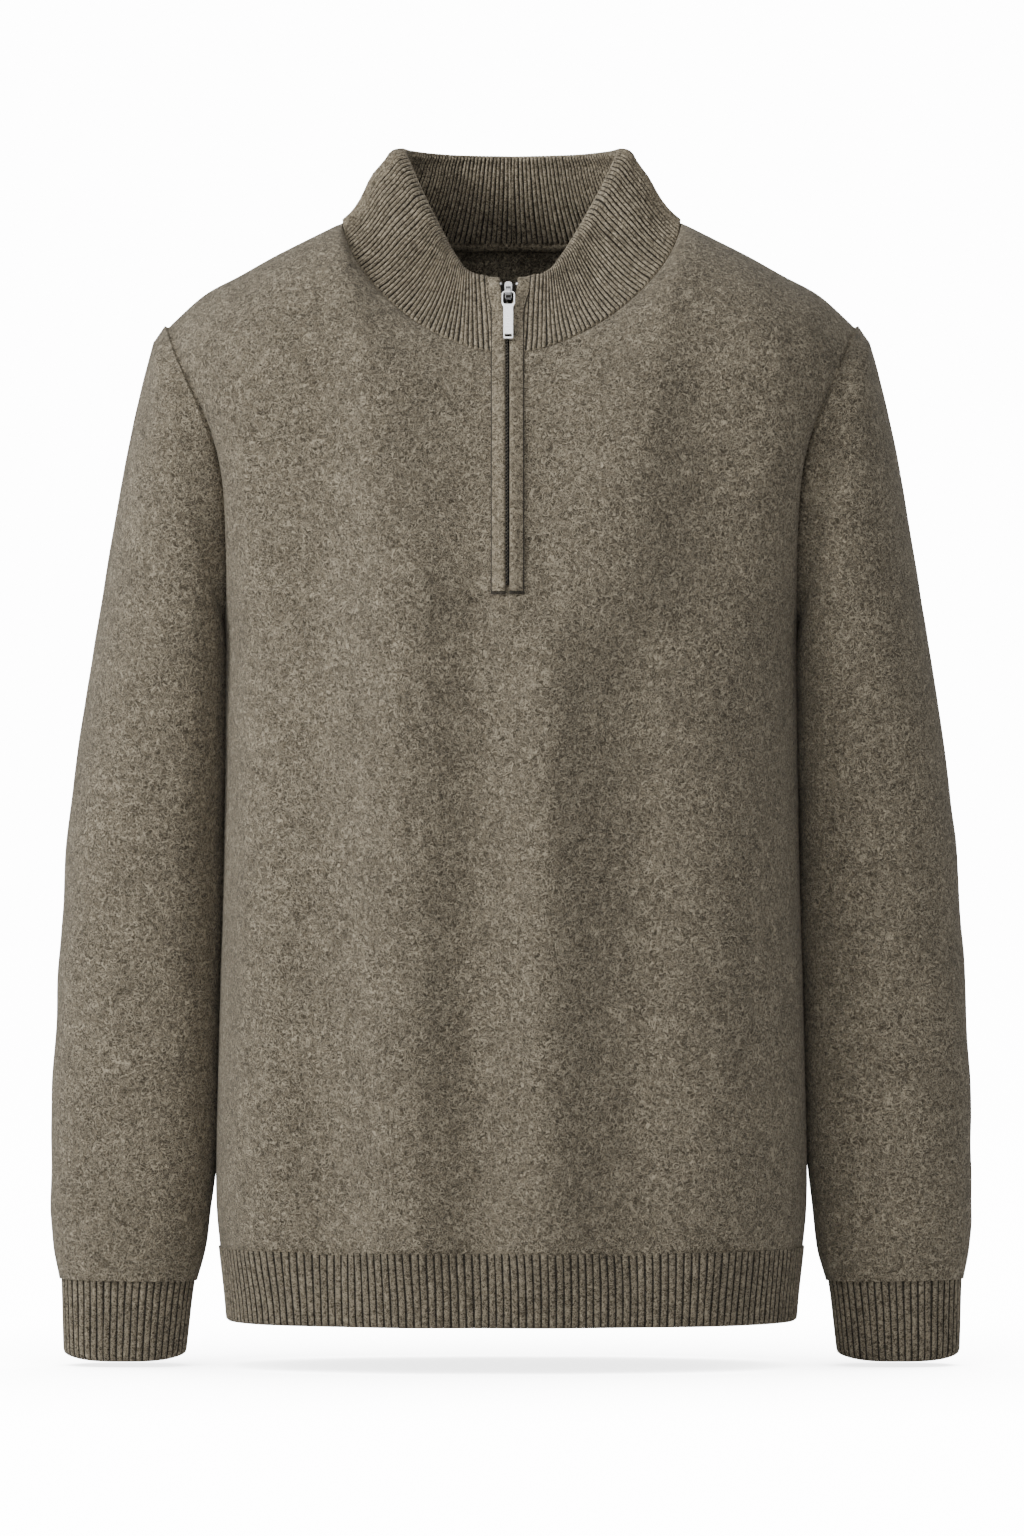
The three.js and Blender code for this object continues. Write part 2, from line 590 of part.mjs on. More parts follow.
// Collar as one doubled rib wall with a rolled top, open at the front
function collarGeometry() {
  const ribAt = (round, i, row) => {
    const fromZip = Math.abs(collarEnds(round).seam.x) - 12 - 4.5 * row.up;
    const front = collarEnds(round).seam.y < 0 ? smooth(fromZip / 5) : 1;
    const fade = front * smooth((1 - row.up) / 0.08);
    return (i % 2 === 1 ? RIB_HEIGHT : 0) * fade;
  };
  const outerRounds = evenRounds(COLLAR_RIBS * 2);
  const innerRounds = evenRounds(COLLAR_RIBS / 2);
  const outer = COLLAR_WALL.map((row) => outerRounds.map((round, i) => (
    collarPoint(round, row, 'outer', ribAt(round, i, row)))));
  const inner = COLLAR_WALL.filter((_, i) => i !== 1 && i !== 5).map((row) => (
    innerRounds.map((round) => collarPoint(round, row, 'inner'))));
  return ribbedGeometry(outer, inner, false);
}

// Rows of cloth beside the zip, from the slit's end up the front and the collar, each from left to right
function zipRows() {
  const { net } = panelNet(-1);
  const middle = net[0].length / 2 - 1;
  const rows = net.filter((line) => -line[middle].z < STRIPS.end + 12).reverse();
  const near = steps(8).map((share) => share * 0.05);
  for (const row of COLLAR_WALL.slice(1, 6)) {
    const left = near.map((round) => collarPoint(round, row, 'outer')).reverse();
    const right = near.map((round) => collarPoint(1 - round, row, 'outer'));
    rows.push([...left, ...right]);
  }
  return rows;
}

// The point of a row at a place across
function onRow(row, x) {
  let i = 1;
  while (i < row.length - 1 && row[i].x < x) i += 1;
  return row[i - 1].clone().lerp(row[i], (x - row[i - 1].x) / (row[i].x - row[i - 1].x));
}

// How far the strips stand apart from the zip's middle at a height
const flare = (z) => 4.2 * smooth((z + 63) / 22);

// The line beside the zip at a distance across, starting a set way down the front
function zipLine(rows, across, side, flared, start) {
  const line = rows.map((row) => {
    const apart = flared ? flare(onRow(row, ZIP_X).z) : 0;
    return onRow(row, ZIP_X + apart * 0.2 + side * (across + apart));
  });
  while (-line[1].z > start) line.shift();
  const first = (start + line[0].z) / (line[0].z - line[1].z);
  line[0].lerp(line[1], first);
  return line;
}

// Adds the turn over the collar's top and down its inside
function overTop(line) {
  const top = line[line.length - 1];
  const along = top.clone().sub(line[line.length - 2]).setX(0).normalize();
  const inward = vec(0, along.z, -along.y);
  const place = (up, into) => moved(moved(top, along, up), inward, into);
  const turn = [place(2.1, 0.5), place(3.1, 2.6), place(2.1, 4.9)];
  const inside = [place(-1.5, 6.2), place(-STRIPS.overTop, 7.8)];
  return [...line, ...turn, ...inside];
}

// Direction out of the cloth at a point of a line
function lineOut(line, i) {
  const before = line[Math.max(i - 1, 0)];
  const after = line[Math.min(i + 1, line.length - 1)];
  const along = after.clone().sub(before).setX(0).normalize();
  return vec(0, -along.z, along.y);
}

// A long narrow body beside the zip: its section's points go across and out of the cloth
function alongZip(section, side, { flared = false, over = false, start, topRows = 0 }) {
  const rows = zipRows();
  const used = rows.slice(0, rows.length - topRows);
  const face = (points) => {
    const lines = points.map(([across, height]) => {
      const plain = zipLine(used, across, side, flared, start);
      const line = over ? overTop(plain) : plain;
      return line.map((point, i) => moved(point, lineOut(line, i), height));
    });
    return lines[0].map((_, i) => lines.map((line) => line[i]));
  };
  return wallGeometry(face(section.outer), face(section.inner));
}

// Soft strip that edges the zip, turned over the collar's top
function stripGeometry(side) {
  const { near, far, thick } = STRIPS;
  const low = 0.45;
  const section = {
    outer: [[near, low + 1.2], [near + 0.9, low + thick], [far - 1.1, low + thick], [far, low + 1]],
    inner: [[near, low], [near + 0.9, low], [far - 1.1, low], [far, low]],
  };
  return alongZip(section, side, { flared: true, over: true, start: STRIPS.end });
}

// Zip tape inside the slit, and the line of closed teeth on the two tapes
function tapeGeometry(side) {
  const { near, far, thick, sink } = TAPE;
  const section = {
    outer: [[near, -sink], [far, -sink]],
    inner: [[near, -sink - thick], [far, -sink - thick]],
  };
  return alongZip(section, side, { start: TAPE.end });
}

function chainGeometry() {
  const low = -TAPE.sink + 0.2;
  const high = low + CHAIN.thick;
  const section = {
    outer: [[-CHAIN.half, low + 0.4], [-0.5, high], [0.5, high], [CHAIN.half, low + 0.4]],
    inner: [[-CHAIN.half, low], [-0.5, low], [0.5, low], [CHAIN.half, low]],
  };
  return alongZip(section, 1, { start: TAPE.end, topRows: 1 });
}

// Tape over the back neck seam, inside the back just under the collar
function neckTapeGeometry() {
  const { net, normals } = panelNet(1);
  const first = SHOULDER_CELLS + 1;
  const last = net[0].length - 1 - first;
  const outer = [[], []];
  const inner = [[], []];
  for (let c = first; c <= last; c += 1) {
    const down = net[1][c].clone().sub(net[0][c]).normalize();
    [NECK_TAPE.below, NECK_TAPE.below + NECK_TAPE.wide].forEach((distance, r) => {
      const base = moved(net[0][c], down, distance).add(vec(0, SEAM_GAP / 2, 0));
      outer[r].push(moved(base, normals[0][c], -KNIT_WALL - 0.9));
      inner[r].push(moved(base, normals[0][c], -KNIT_WALL - 0.9 - NECK_TAPE.thick));
    });
  }
  return wallGeometry(outer, inner);
}

// Middle of the pull tab's hinge on the collar's front, and the slope of the front there
const HINGE = { height: 3.5, z: -49.4 };

function slope() {
  const line = zipLine(zipRows(), 0, 1, false, STRIPS.end);
  const top = line[line.length - 2];
  const low = line[line.length - 5];
  const along = top.clone().sub(low).normalize();
  const share = (HINGE.z - low.z) / (top.z - low.z);
  return { base: low.clone().lerp(top, share), lean: Math.atan2(along.y, along.z) };
}

// Sets a body made upright at the hinge onto the sloping front
function ontoSlope(geometry, extraLean = 0) {
  const { base, lean } = slope();
  const out = vec(0, -Math.cos(lean), Math.sin(lean));
  const hinge = moved(base, out, HINGE.height);
  geometry.rotateX(-lean + extraLean);
  geometry.translate(ZIP_X + 0.5, hinge.y, hinge.z);
  return geometry;
}

// Slider seen from the side: a plate with a bridge that the pull's loop hangs in
function sliderGeometry() {
  const { width, plate, bridgeRise, bar } = SLIDER;
  const back = -HINGE.height + 0.25;
  const profile = new THREE.Shape();
  profile.moveTo(back, -5.6);
  profile.lineTo(back + plate * 0.8, -5.6);
  profile.lineTo(back + plate, -4.8);
  profile.lineTo(back + plate + bridgeRise * 0.7, -4.4);
  profile.lineTo(back + plate + bridgeRise, -3);
  profile.lineTo(back + plate + bridgeRise, 1.6);
  profile.lineTo(back + plate + bridgeRise * 0.6, 3.4);
  profile.lineTo(back + plate, 4.2);
  profile.lineTo(back + plate, 7.6);
  profile.lineTo(back + plate * 0.6, 8.4);
  profile.lineTo(back, 8.4);
  profile.closePath();
  const eye = new THREE.Path();
  const inside = back + plate + 0.1;
  eye.moveTo(inside, -3.4);
  eye.lineTo(inside, 1.4);
  eye.lineTo(inside + bridgeRise - bar - 0.1, 1);
  eye.lineTo(inside + bridgeRise - bar - 0.1, -3);
  eye.closePath();
  profile.holes.push(eye);
  const geometry = new THREE.ExtrudeGeometry(profile, { depth: width, bevelEnabled: false });
  geometry.translate(0, 0, -width / 2);
  const turned = new THREE.Matrix4().makeBasis(vec(0, -1, 0), vec(0, 0, 1), vec(-1, 0, 0));
  geometry.applyMatrix4(turned);
  return ontoSlope(geometry);
}

// Pull tab: a flat loop and a long plate with a narrow slot near its end, in one piece
function pullGeometry() {
  const { loopWidth, loopLength, wire, tabWidth, tabLength, thick } = PULL;
  const half = loopWidth / 2;
  const top = wire / 2;
  const loopEnd = top - loopLength;
  const end = loopEnd - tabLength;
  const corner = 1.6;
  const outline = new THREE.Shape();
  outline.moveTo(-half + corner, top);
  outline.lineTo(half - corner, top);
  outline.quadraticCurveTo(half, top, half, top - corner);
  outline.lineTo(half, loopEnd + 2.4);
  outline.quadraticCurveTo(half, loopEnd, tabWidth / 2, loopEnd);
  outline.lineTo(tabWidth / 2, end + 0.8);
  outline.quadraticCurveTo(tabWidth / 2, end, tabWidth / 2 - 0.8, end);
  outline.lineTo(-tabWidth / 2 + 0.8, end);
  outline.quadraticCurveTo(-tabWidth / 2, end, -tabWidth / 2, end + 0.8);
  outline.lineTo(-tabWidth / 2, loopEnd);
  outline.quadraticCurveTo(-half, loopEnd, -half, loopEnd + 2.4);
  outline.lineTo(-half, top - corner);
  outline.quadraticCurveTo(-half, top, -half + corner, top);
  const eye = new THREE.Path();
  eye.moveTo(-half + wire, top - wire);
  eye.lineTo(-half + wire, loopEnd + 2.6);
  eye.quadraticCurveTo(-half + wire, loopEnd + 1.2, -half + wire + 1.4, loopEnd + 1.2);
  eye.lineTo(half - wire - 1.4, loopEnd + 1.2);
  eye.quadraticCurveTo(half - wire, loopEnd + 1.2, half - wire, loopEnd + 2.6);
  eye.lineTo(half - wire, top - wire);
  eye.closePath();
  const slot = new THREE.Path();
  slot.moveTo(-2.2, end + 1.4);
  slot.lineTo(2.2, end + 1.4);
  slot.lineTo(2.2, end + 3.2);
  slot.lineTo(-2.2, end + 3.2);
  slot.closePath();
  outline.holes.push(eye, slot);
  const settings = { depth: thick, bevelEnabled: false, curveSegments: 4 };
  const geometry = new THREE.ExtrudeGeometry(outline, settings);
  geometry.translate(0, 0, -thick / 2);
  geometry.rotateX(Math.PI / 2);
  return ontoSlope(geometry, -0.02);
}

// Colours of the knit, its ribs and the zip
const material = (color, roughness, metalness = 0) => (
  new THREE.MeshStandardMaterial({ color, roughness, metalness }));
const KNIT = 0x776e60;
const RIB = 0x6a6254;

const group = new THREE.Group();

function add(name, geometry, color, roughness = 0.95, metalness = 0) {
  const mesh = new THREE.Mesh(geometry, material(color, roughness, metalness));
  mesh.name = name;
  group.add(mesh);
}

add('front', panelGeometry(-1), KNIT);
add('back', panelGeometry(1), KNIT);
add('sleeve_left', sleeveGeometry(-1), KNIT);
add('sleeve_right', sleeveGeometry(1), KNIT);
add('collar', collarGeometry(), RIB);
add('hem_rib_front', hemGeometry(-1), RIB);
add('hem_rib_back', hemGeometry(1), RIB);
add('cuff_left', cuffGeometry(-1), RIB);
add('cuff_right', cuffGeometry(1), RIB);
add('placket_strip_left', stripGeometry(-1), KNIT);
add('placket_strip_right', stripGeometry(1), KNIT);
add('zip_tape_left', tapeGeometry(-1), 0x4f483d);
add('zip_tape_right', tapeGeometry(1), 0x4f483d);
add('zip_chain', chainGeometry(), 0x5a5347, 0.6);
add('neck_seam_tape', neckTapeGeometry(), RIB);
add('zip_slider', sliderGeometry(), 0xb9b9b9, 0.3, 1);
add('pull_tab', pullGeometry(), 0xc4c4c4, 0.28, 1);

export default group;
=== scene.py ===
import math
from bisect import bisect_right

import bmesh
import bpy
from mathutils import Matrix, Vector, noise


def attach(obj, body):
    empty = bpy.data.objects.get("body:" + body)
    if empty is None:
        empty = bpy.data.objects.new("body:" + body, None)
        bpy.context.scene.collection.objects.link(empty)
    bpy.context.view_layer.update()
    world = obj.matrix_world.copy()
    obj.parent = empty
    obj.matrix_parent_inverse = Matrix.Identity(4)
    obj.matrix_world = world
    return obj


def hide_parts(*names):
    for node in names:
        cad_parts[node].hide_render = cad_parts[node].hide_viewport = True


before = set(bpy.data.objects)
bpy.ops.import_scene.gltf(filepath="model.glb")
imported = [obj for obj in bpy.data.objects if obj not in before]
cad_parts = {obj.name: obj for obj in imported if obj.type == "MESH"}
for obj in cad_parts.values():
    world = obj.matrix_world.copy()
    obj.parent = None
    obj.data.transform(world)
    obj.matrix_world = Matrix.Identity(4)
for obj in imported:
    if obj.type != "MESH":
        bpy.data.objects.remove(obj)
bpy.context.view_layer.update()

# Sizes are in millimetres as in the part's source, and become metres in each mesh
MM = 0.001
ACROSS = Vector((1, 0, 0))
KNIT_WALL = 2.4
SEAM_GAP = 0.3
SEAM_TUCK = 1.6
RIB_HEIGHT = 1.25
RIB_OUTER = -0.3
RIB_INNER = -2.45
RIB_STEPS = (0, 0.13, 0.3, 0.5, 0.7, 0.87)
ARMPIT_DROP = 255
ARMPIT_HALF = 181.2
SHOULDER_DROP = 65.5
SHOULDER_HALF = 216.5
HEM_TOP = 649.5
HEM_BOTTOM = 694.5
NECK = {"half": 107, "front_drop": 87.5, "back_drop": 10, "front_depth": 87, "back_depth": 75, "power": 1.65}
ZIP_X = -2.5
SLIT_HALF = 4.5
SLIT_END = 234
SHOULDER_CELLS = 8
NECK_CELLS = {-1: 7, 1: 5}
NECK_ANGLE = math.pi / 3
SECTION_POWER = 2 / 2.4
SLEEVE_POWER = 2 / 2.25
HEM_RIBS = 100
CUFF_RIBS = 50
COLLAR_RIBS = 184
TOOTH_STEP = 1.15

# The body's round sections: drop, half width, depth of the front, depth of the back
BODY = [
    (255, 181.2, 129, 119), (303, 181.0, 128, 117), (387, 181.7, 124, 112), (492, 184.6, 117, 107),
    (594, 187.0, 110, 103), (625, 186.6, 108, 101), (650, 184.2, 105, 99), (682, 180.7, 103, 97),
    (720, 178.0, 102, 96),
]

# Hanging folds: place across, half width, height
FOLDS = {
    -1: [(-166, 23, 8.0), (-118, 22, -8.4), (-66, 21, 7.8), (-20, 19, -6.4), (24, 21, 7.6), (76, 24, -7.8),
         (138, 28, 6.4)],
    1: [(-128, 26, 4.2), (-78, 22, -4.0), (-30, 22, 3.6), (18, 20, -4.0), (66, 24, 4.2), (118, 24, -3.6)],
}

# Shoulder seam from the neck to the sleeve: share, x, y, z
SHOULDER = [
    (0, 107, 0, 0), (0.2, 128, 0.5, -10.5), (0.4, 150, 1, -21.5), (0.6, 172, 1.5, -33.8),
    (0.8, 194.5, 2, -46), (1, 216.5, 2, -65.5),
]

# Armhole seam from the armpit to the shoulder: share, x, y, z
ARMHOLE = {
    -1: [(0, 181.2, 0, -255), (0.12, 179, -26, -240), (0.28, 178, -43, -206), (0.44, 180, -53, -170),
         (0.6, 188.5, -58, -135), (0.74, 199, -54, -109), (0.86, 208.5, -42, -88), (0.94, 213.8, -24, -73.5),
         (0.975, 215.8, -11, -67.8), (1, 216.5, 2, -65.5)],
    1: [(0, 181.2, 0, -255), (0.12, 181, 30, -240), (0.28, 182, 51, -206), (0.44, 185, 62, -170),
        (0.6, 191, 66, -135), (0.74, 199.5, 62, -109), (0.86, 208.5, 48, -87), (0.94, 213.8, 29, -73.5),
        (0.975, 215.8, 15, -67.8), (1, 216.5, 2, -65.5)],
}

# Sleeve rings: share of the length, outer edge x and z, inner edge x and z, middle y, half depth
SLEEVE = [
    (0, 224.5, -77, 183.0, -259, 2, 64), (0.06, 231.6, -103, 181.6, -266, 3, 66),
    (0.13, 239.8, -140, 180.6, -278, 4, 66), (0.21, 247.6, -182, 180.2, -298, 6, 65),
    (0.3, 256.1, -230, 180.4, -326, 8, 62), (0.39, 264.9, -283, 181.6, -360, 10, 59),
    (0.48, 273.2, -341, 182.0, -402, 12, 56), (0.58, 280.4, -408, 183.6, -452, 13, 53),
    (0.68, 285.1, -476, 185.0, -506, 12, 49), (0.78, 288.3, -545, 187.4, -560, 9, 45),
    (0.87, 289.6, -603, 190.6, -609, 6, 41), (0.94, 287.9, -645, 195.6, -648, 3, 35.5),
    (1, 283.9, -668, 201.2, -669, 1, 29.6),
]

# Slack creases of a sleeve: place down, slope, half width, height, side of the arm
CREASES = [
    (372, 0.5, 17, -1.3, 1), (418, 0.45, 18, 1.2, 1), (455, -0.35, 16, -1.1, -1), (500, 0.3, 20, 1.0, 1),
    (560, -0.3, 22, -1.0, 1), (612, 0.35, 16, 1.1, -1), (640, -0.2, 10, -0.9, 1),
]

# Cuff sections: drop, middle across, half width, half depth
CUFF = [
    (668.8, 242.6, 41.5, 29.4), (684, 243.4, 40.2, 27.8), (716, 244.6, 38.2, 25.2), (720, 244.6, 37.4, 24.4),
]

# Collar's rolled top edge by the angle from the side: angle, x, y, z
COLLAR_TOP = {
    -1: [(0, 68.5, 12, 46.5), (7, 66, 3.5, 40.5), (20, 56.5, -13, 19.5), (31.4, 46.3, -27, -0.5),
         (56.8, 32.6, -48, -24.5), (75.5, 21.5, -57.5, -35.5), (90, 0, -63, -38.5)],
    1: [(0, 68.5, 12, 46.5), (30, 61, 37, 46.5), (60, 37, 55, 45.5), (90, 0, 62, 45)],
}

# Collar's wall: share of the height, outer and inner face off the straight line
COLLAR_WALL = [
    (0, 0, -3), (0.16, -2.2, -6.2), (0.42, -3.2, -8), (0.72, -1.4, -6.4), (0.9, 0.3, -4.8),
    (0.985, -0.6, -3.9), (1.015, -1.8, -2.9),
]

# Rows of the collar by share of its height
COLLAR_UPS = (0, 0.02, 0.05, 0.12, 0.2, 0.3, 0.4, 0.5, 0.6, 0.7, 0.8, 0.87, 0.92, 0.955, 0.98, 1.0, 1.012)

# The zip and what edges it; each end is a drop
STRIPS = {"near": 1.2, "far": 10.4, "thick": 2.4, "end": 238}
TAPE = {"near": 0.15, "far": 4.1, "thick": 1, "sink": 1.5, "end": 232}
HINGE = {"height": 4.3, "z": -49.64}
PULL = {"loop_width": 8.6, "loop_length": 11, "wire": 1.1, "tab_width": 6.3, "tab_length": 23.5, "thick": 1.2}


def clamp(value, low=0.0, high=1.0):
    return min(max(value, low), high)


def smooth(value):
    value = clamp(value)
    return value * value * (3 - 2 * value)


def steps(count):
    return [i / count for i in range(count + 1)]


# A smooth hill of height 1 round a middle
def hill(value, middle, width):
    return math.exp(-(((value - middle) / width) ** 2))


# Sine or cosine pushed out toward a rounded square, for the sleeves' sections
def rounded(value):
    return math.copysign(abs(value) ** SLEEVE_POWER, value)


# Lengths from the start of a line to each of its points
def run_lengths(line):
    lengths = [0]
    for a, b in zip(line, line[1:]):
        lengths.append(lengths[-1] + (b - a).length)
    return lengths


# Smooth reading of the other columns of a table at a place in its first column
def read(rows, place):
    last = len(rows) - 1
    i = 0
    while i < last - 1 and place > rows[i + 1][0]:
        i += 1
    before, start, end, after = rows[max(i - 1, 0)], rows[i], rows[i + 1], rows[min(i + 2, last)]
    span = end[0] - start[0]
    t = clamp((place - start[0]) / span)
    values = []
    for k in range(1, len(start)):
        slope_a = (end[k] - before[k]) / (end[0] - before[0])
        slope_b = (after[k] - start[k]) / (after[0] - start[0])
        value = (1 + 2 * t) * (1 - t) ** 2 * start[k] + t * (1 - t) ** 2 * span * slope_a
        value += t * t * (3 - 2 * t) * end[k] + t * t * (t - 1) * span * slope_b
        values.append(value)
    return values


# Slow unevenness of cloth, from -1 to 1
def drift(x, y, z, size, seed=0.0):
    return noise.noise(Vector((x / size + seed, y / size, z / size)))


def fold_height(facing, x, drop):
    fade = smooth((drop - 112) / 230) * (1 - 0.75 * smooth((drop - 635) / 55))
    height = 0
    spread = 1 - 0.0001 * (drop - 450)
    for place, width, tall in FOLDS[facing]:
        height += tall * hill(x, place * spread, width)
    return height * fade


def body_point(facing, angle, drop):
    half, front, back = read(BODY, drop)
    depth = front if facing < 0 else back
    across = math.cos(angle)
    out = max(math.sin(angle), 0) ** SECTION_POWER
    x = -half * math.copysign(abs(across) ** SECTION_POWER, across)
    folds = fold_height(facing, x, drop) * smooth(out * 1.6)
    return Vector((x, facing * (depth * out + folds), -drop))


def neck_point(facing, angle, side):
    x = NECK["half"] * max(math.cos(angle), 0) ** (2 / NECK["power"])
    depth = NECK["front_depth"] if facing < 0 else NECK["back_depth"]
    fall = NECK["front_drop"] if facing < 0 else NECK["back_drop"]
    share = min(x / NECK["half"], 1)
    y = facing * depth * (1 - share**2) ** 0.5
    z = -fall * (1 - share ** NECK["power"]) ** (1 / NECK["power"])
    return Vector((side * x, y, z))


def neck_angle_at(x):
    return math.acos((abs(x) / NECK["half"]) ** (NECK["power"] / 2))


def toward_zip(point):
    share = min(abs(point.x) / NECK["half"], 1)
    front = clamp(-point.y / 55)
    return Vector((point.x + ZIP_X * (1 - share**2) * front, point.y, point.z))


def top_point(facing, column, side):
    if column <= SHOULDER_CELLS:
        x, y, z = read(SHOULDER, 1 - column / SHOULDER_CELLS)
        return Vector((side * x, y, z))
    neck_end = neck_angle_at(SLIT_HALF) if facing < 0 else math.pi / 2
    return neck_point(facing, neck_end * (column - SHOULDER_CELLS) / NECK_CELLS[facing], side)


def column_angle(facing, column, drop):
    if column <= SHOULDER_CELLS:
        return NECK_ANGLE * column / SHOULDER_CELLS
    half = read(BODY, drop)[0]
    end = math.acos((SLIT_HALF / half) ** (1 / SECTION_POWER)) if facing < 0 else math.pi / 2
    return NECK_ANGLE + (end - NECK_ANGLE) * (column - SHOULDER_CELLS) / NECK_CELLS[facing]


# A point of the front or back above the armpit
def upper_point(facing, column, rise, side):
    arm_x, arm_y, arm_z = read(ARMHOLE[facing], rise)
    up = (arm_z + ARMPIT_DROP) / (ARMPIT_DROP - SHOULDER_DROP)
    bottom = body_point(facing, column_angle(facing, column, ARMPIT_DROP), ARMPIT_DROP)
    bottom.x *= -side
    top = top_point(facing, column, side)
    blend = smooth(abs(top.x) / 145)
    shoulder = 1 - math.sqrt(max(0, 1 - up**2))
    chest = max(up, 0) ** (1.8 if facing < 0 else 2.6)
    turn = blend * shoulder + (1 - blend) * chest
    point = bottom.lerp(top, up)
    point.y = bottom.y + (top.y - bottom.y) * turn
    point.y += facing * fold_height(facing, point.x, ARMPIT_DROP * (1 - up)) * smooth(1 - up * 2)
    share = column / (SHOULDER_CELLS + NECK_CELLS[facing])
    straight_x = ARMPIT_HALF + (SHOULDER_HALF - ARMPIT_HALF) * up
    point.x += side * (arm_x - straight_x) * (1 - share) ** 9
    point.y += (arm_y - 2 * shoulder) * (1 - share) ** (1.5 + 5 * (1 - up) ** 2)
    return point


# A point of the front or back below the armpit
def lower_point(facing, column, drop, side):
    angle = column_angle(facing, column, drop)
    return body_point(facing, angle if side < 0 else math.pi - angle, drop)


# Direction in which the armhole's seam faces
def armhole_out(facing, rise, side):
    turn = math.pi * smooth(rise * 0.92 + 0.08 * smooth(rise)) ** 0.8
    return Vector((side * 0.42, facing * math.sin(turn), -math.cos(turn))).normalized()


# Outward directions of a net of points
def net_normals(net, sign, wraps=False):
    rows, columns = len(net), len(net[0])
    normals = []
    for r in range(rows):
        line = []
        for c in range(columns):
            right = net[r][(c + 1) % columns] if wraps else net[r][min(c + 1, columns - 1)]
            left = net[r][(c - 1) % columns] if wraps else net[r][max(c - 1, 0)]
            down = net[min(r + 1, rows - 1)][c] - net[max(r - 1, 0)][c]
            line.append((right - left).cross(down).normalized() * sign)
        normals.append(line)
    return normals


def add_object(name, data):
    thing = bpy.data.objects.new(name, data)
    bpy.context.collection.objects.link(thing)
    return thing


# A mesh object from points in millimetres, with faces turned outward and smooth shading
def mesh_piece(name, points, faces, sharp=None, slots=None):
    mesh = bpy.data.meshes.new(name)
    mesh.from_pydata([p * MM for p in points], [], faces)
    if slots:
        mesh.polygons.foreach_set("material_index", slots)
    work = bmesh.new()
    work.from_mesh(mesh)
    bmesh.ops.recalc_face_normals(work, faces=work.faces)
    if work.calc_volume(signed=True) < 0:
        bmesh.ops.reverse_faces(work, faces=work.faces)
    work.to_mesh(mesh)
    work.free()
    mesh.shade_smooth()
    if sharp:
        mesh.set_sharp_from_angle(angle=math.radians(sharp))
    return add_object(name, mesh)


# A closed wall between an outer and an inner net, with rims round each edge and opening
def wall_piece(name, outer, inner, is_open=None, wraps=False, slot_of=None):
    rows, columns = len(outer), len(outer[0])
    cells = columns if wraps else columns - 1
    points = [p for line in outer for p in line] + [p for line in inner for p in line]

    def at(layer, r, c):
        return layer * rows * columns + r * columns + c % columns

    def filled(r, c):
        if r < 0 or r >= rows - 1 or (not wraps and (c < 0 or c >= cells)):
            return False
        return not (is_open and is_open(r, c % cells))

    faces, slots = [], []

    def rim(a, b):
        faces.append((at(0, *b), at(0, *a), at(1, *a), at(1, *b)))
        slots.append(0)

    for r in range(rows - 1):
        for c in range(cells):
            if not filled(r, c):
                continue
            faces.append((at(0, r, c), at(0, r, c + 1), at(0, r + 1, c + 1), at(0, r + 1, c)))
            faces.append((at(1, r, c), at(1, r + 1, c), at(1, r + 1, c + 1), at(1, r, c + 1)))
            slots += [slot_of(r, c) if slot_of else 0] * 2
            if not filled(r - 1, c):
                rim((r, c), (r, c + 1))
            if not filled(r + 1, c):
                rim((r + 1, c + 1), (r + 1, c))
            if not filled(r, c - 1):
                rim((r + 1, c), (r, c))
            if not filled(r, c + 1):
                rim((r, c + 1), (r + 1, c + 1))
    return mesh_piece(name, points, faces, sharp=50, slots=slots)


# Steps of a run after its start, closer at its far end, where the cloth turns into its seam
def edged(count, edge=0.22):
    return list(range(1, count)) + [count - edge, count - edge * 0.4, count]


# How far the outer face sinks into a seam, by the distance from the edge in steps of the net
def seam_dip(index, last):
    from_edge = min(index, last - index)
    return (0.5, 0.16, 0.02)[from_edge] if from_edge < 3 else 0.0


# Fine net of the front or back, from the top edge down to the hem; rise is -1 below the armpit
def panel_net(facing, fine=4, rows_up=46, rows_down=58):
    half = SHOULDER_CELLS + NECK_CELLS[facing]
    slit_edge = [half - 0.1] if facing < 0 else []
    shares = [0, 0.1, 0.25] + [i / fine for i in range(2, half * fine - 1)] + [half - 0.25, *slit_edge, half]
    columns = [(c, -1) for c in shares]
    columns += [(c, 1) for c in reversed(shares if facing < 0 else shares[:-1])]
    rises = [row / rows_up for row in reversed(edged(rows_up))] + [0]
    net = [[upper_point(facing, c, rise, side) for c, side in columns] for rise in rises]
    for row in edged(rows_down):
        drop = ARMPIT_DROP + (HEM_TOP - ARMPIT_DROP) * row / rows_down
        net.append([lower_point(facing, c, drop, side) for c, side in columns])
    ease_shoulders(net, columns)
    ease_rows(net, len(rises) - 1, columns)
    if facing < 0:
        net = [[toward_zip(p) for p in line] for line in net]
    rise_of = rises + [-1] * (len(net) - len(rises))
    return net, columns, rise_of


# Eases the cloth across the line below each side point of the neck
def ease_shoulders(net, columns):
    near = [c for c, (column, _) in enumerate(columns) if 3.5 < column < SHOULDER_CELLS + 4]
    for r, line in enumerate(net[1:], 1):
        share = 0.5 * smooth(r / 5)
        for _ in range(14):
            eased = {c: (line[c - 1] + line[c + 1]) / 2 for c in near}
            for c, point in eased.items():
                line[c] = line[c].lerp(point, share)


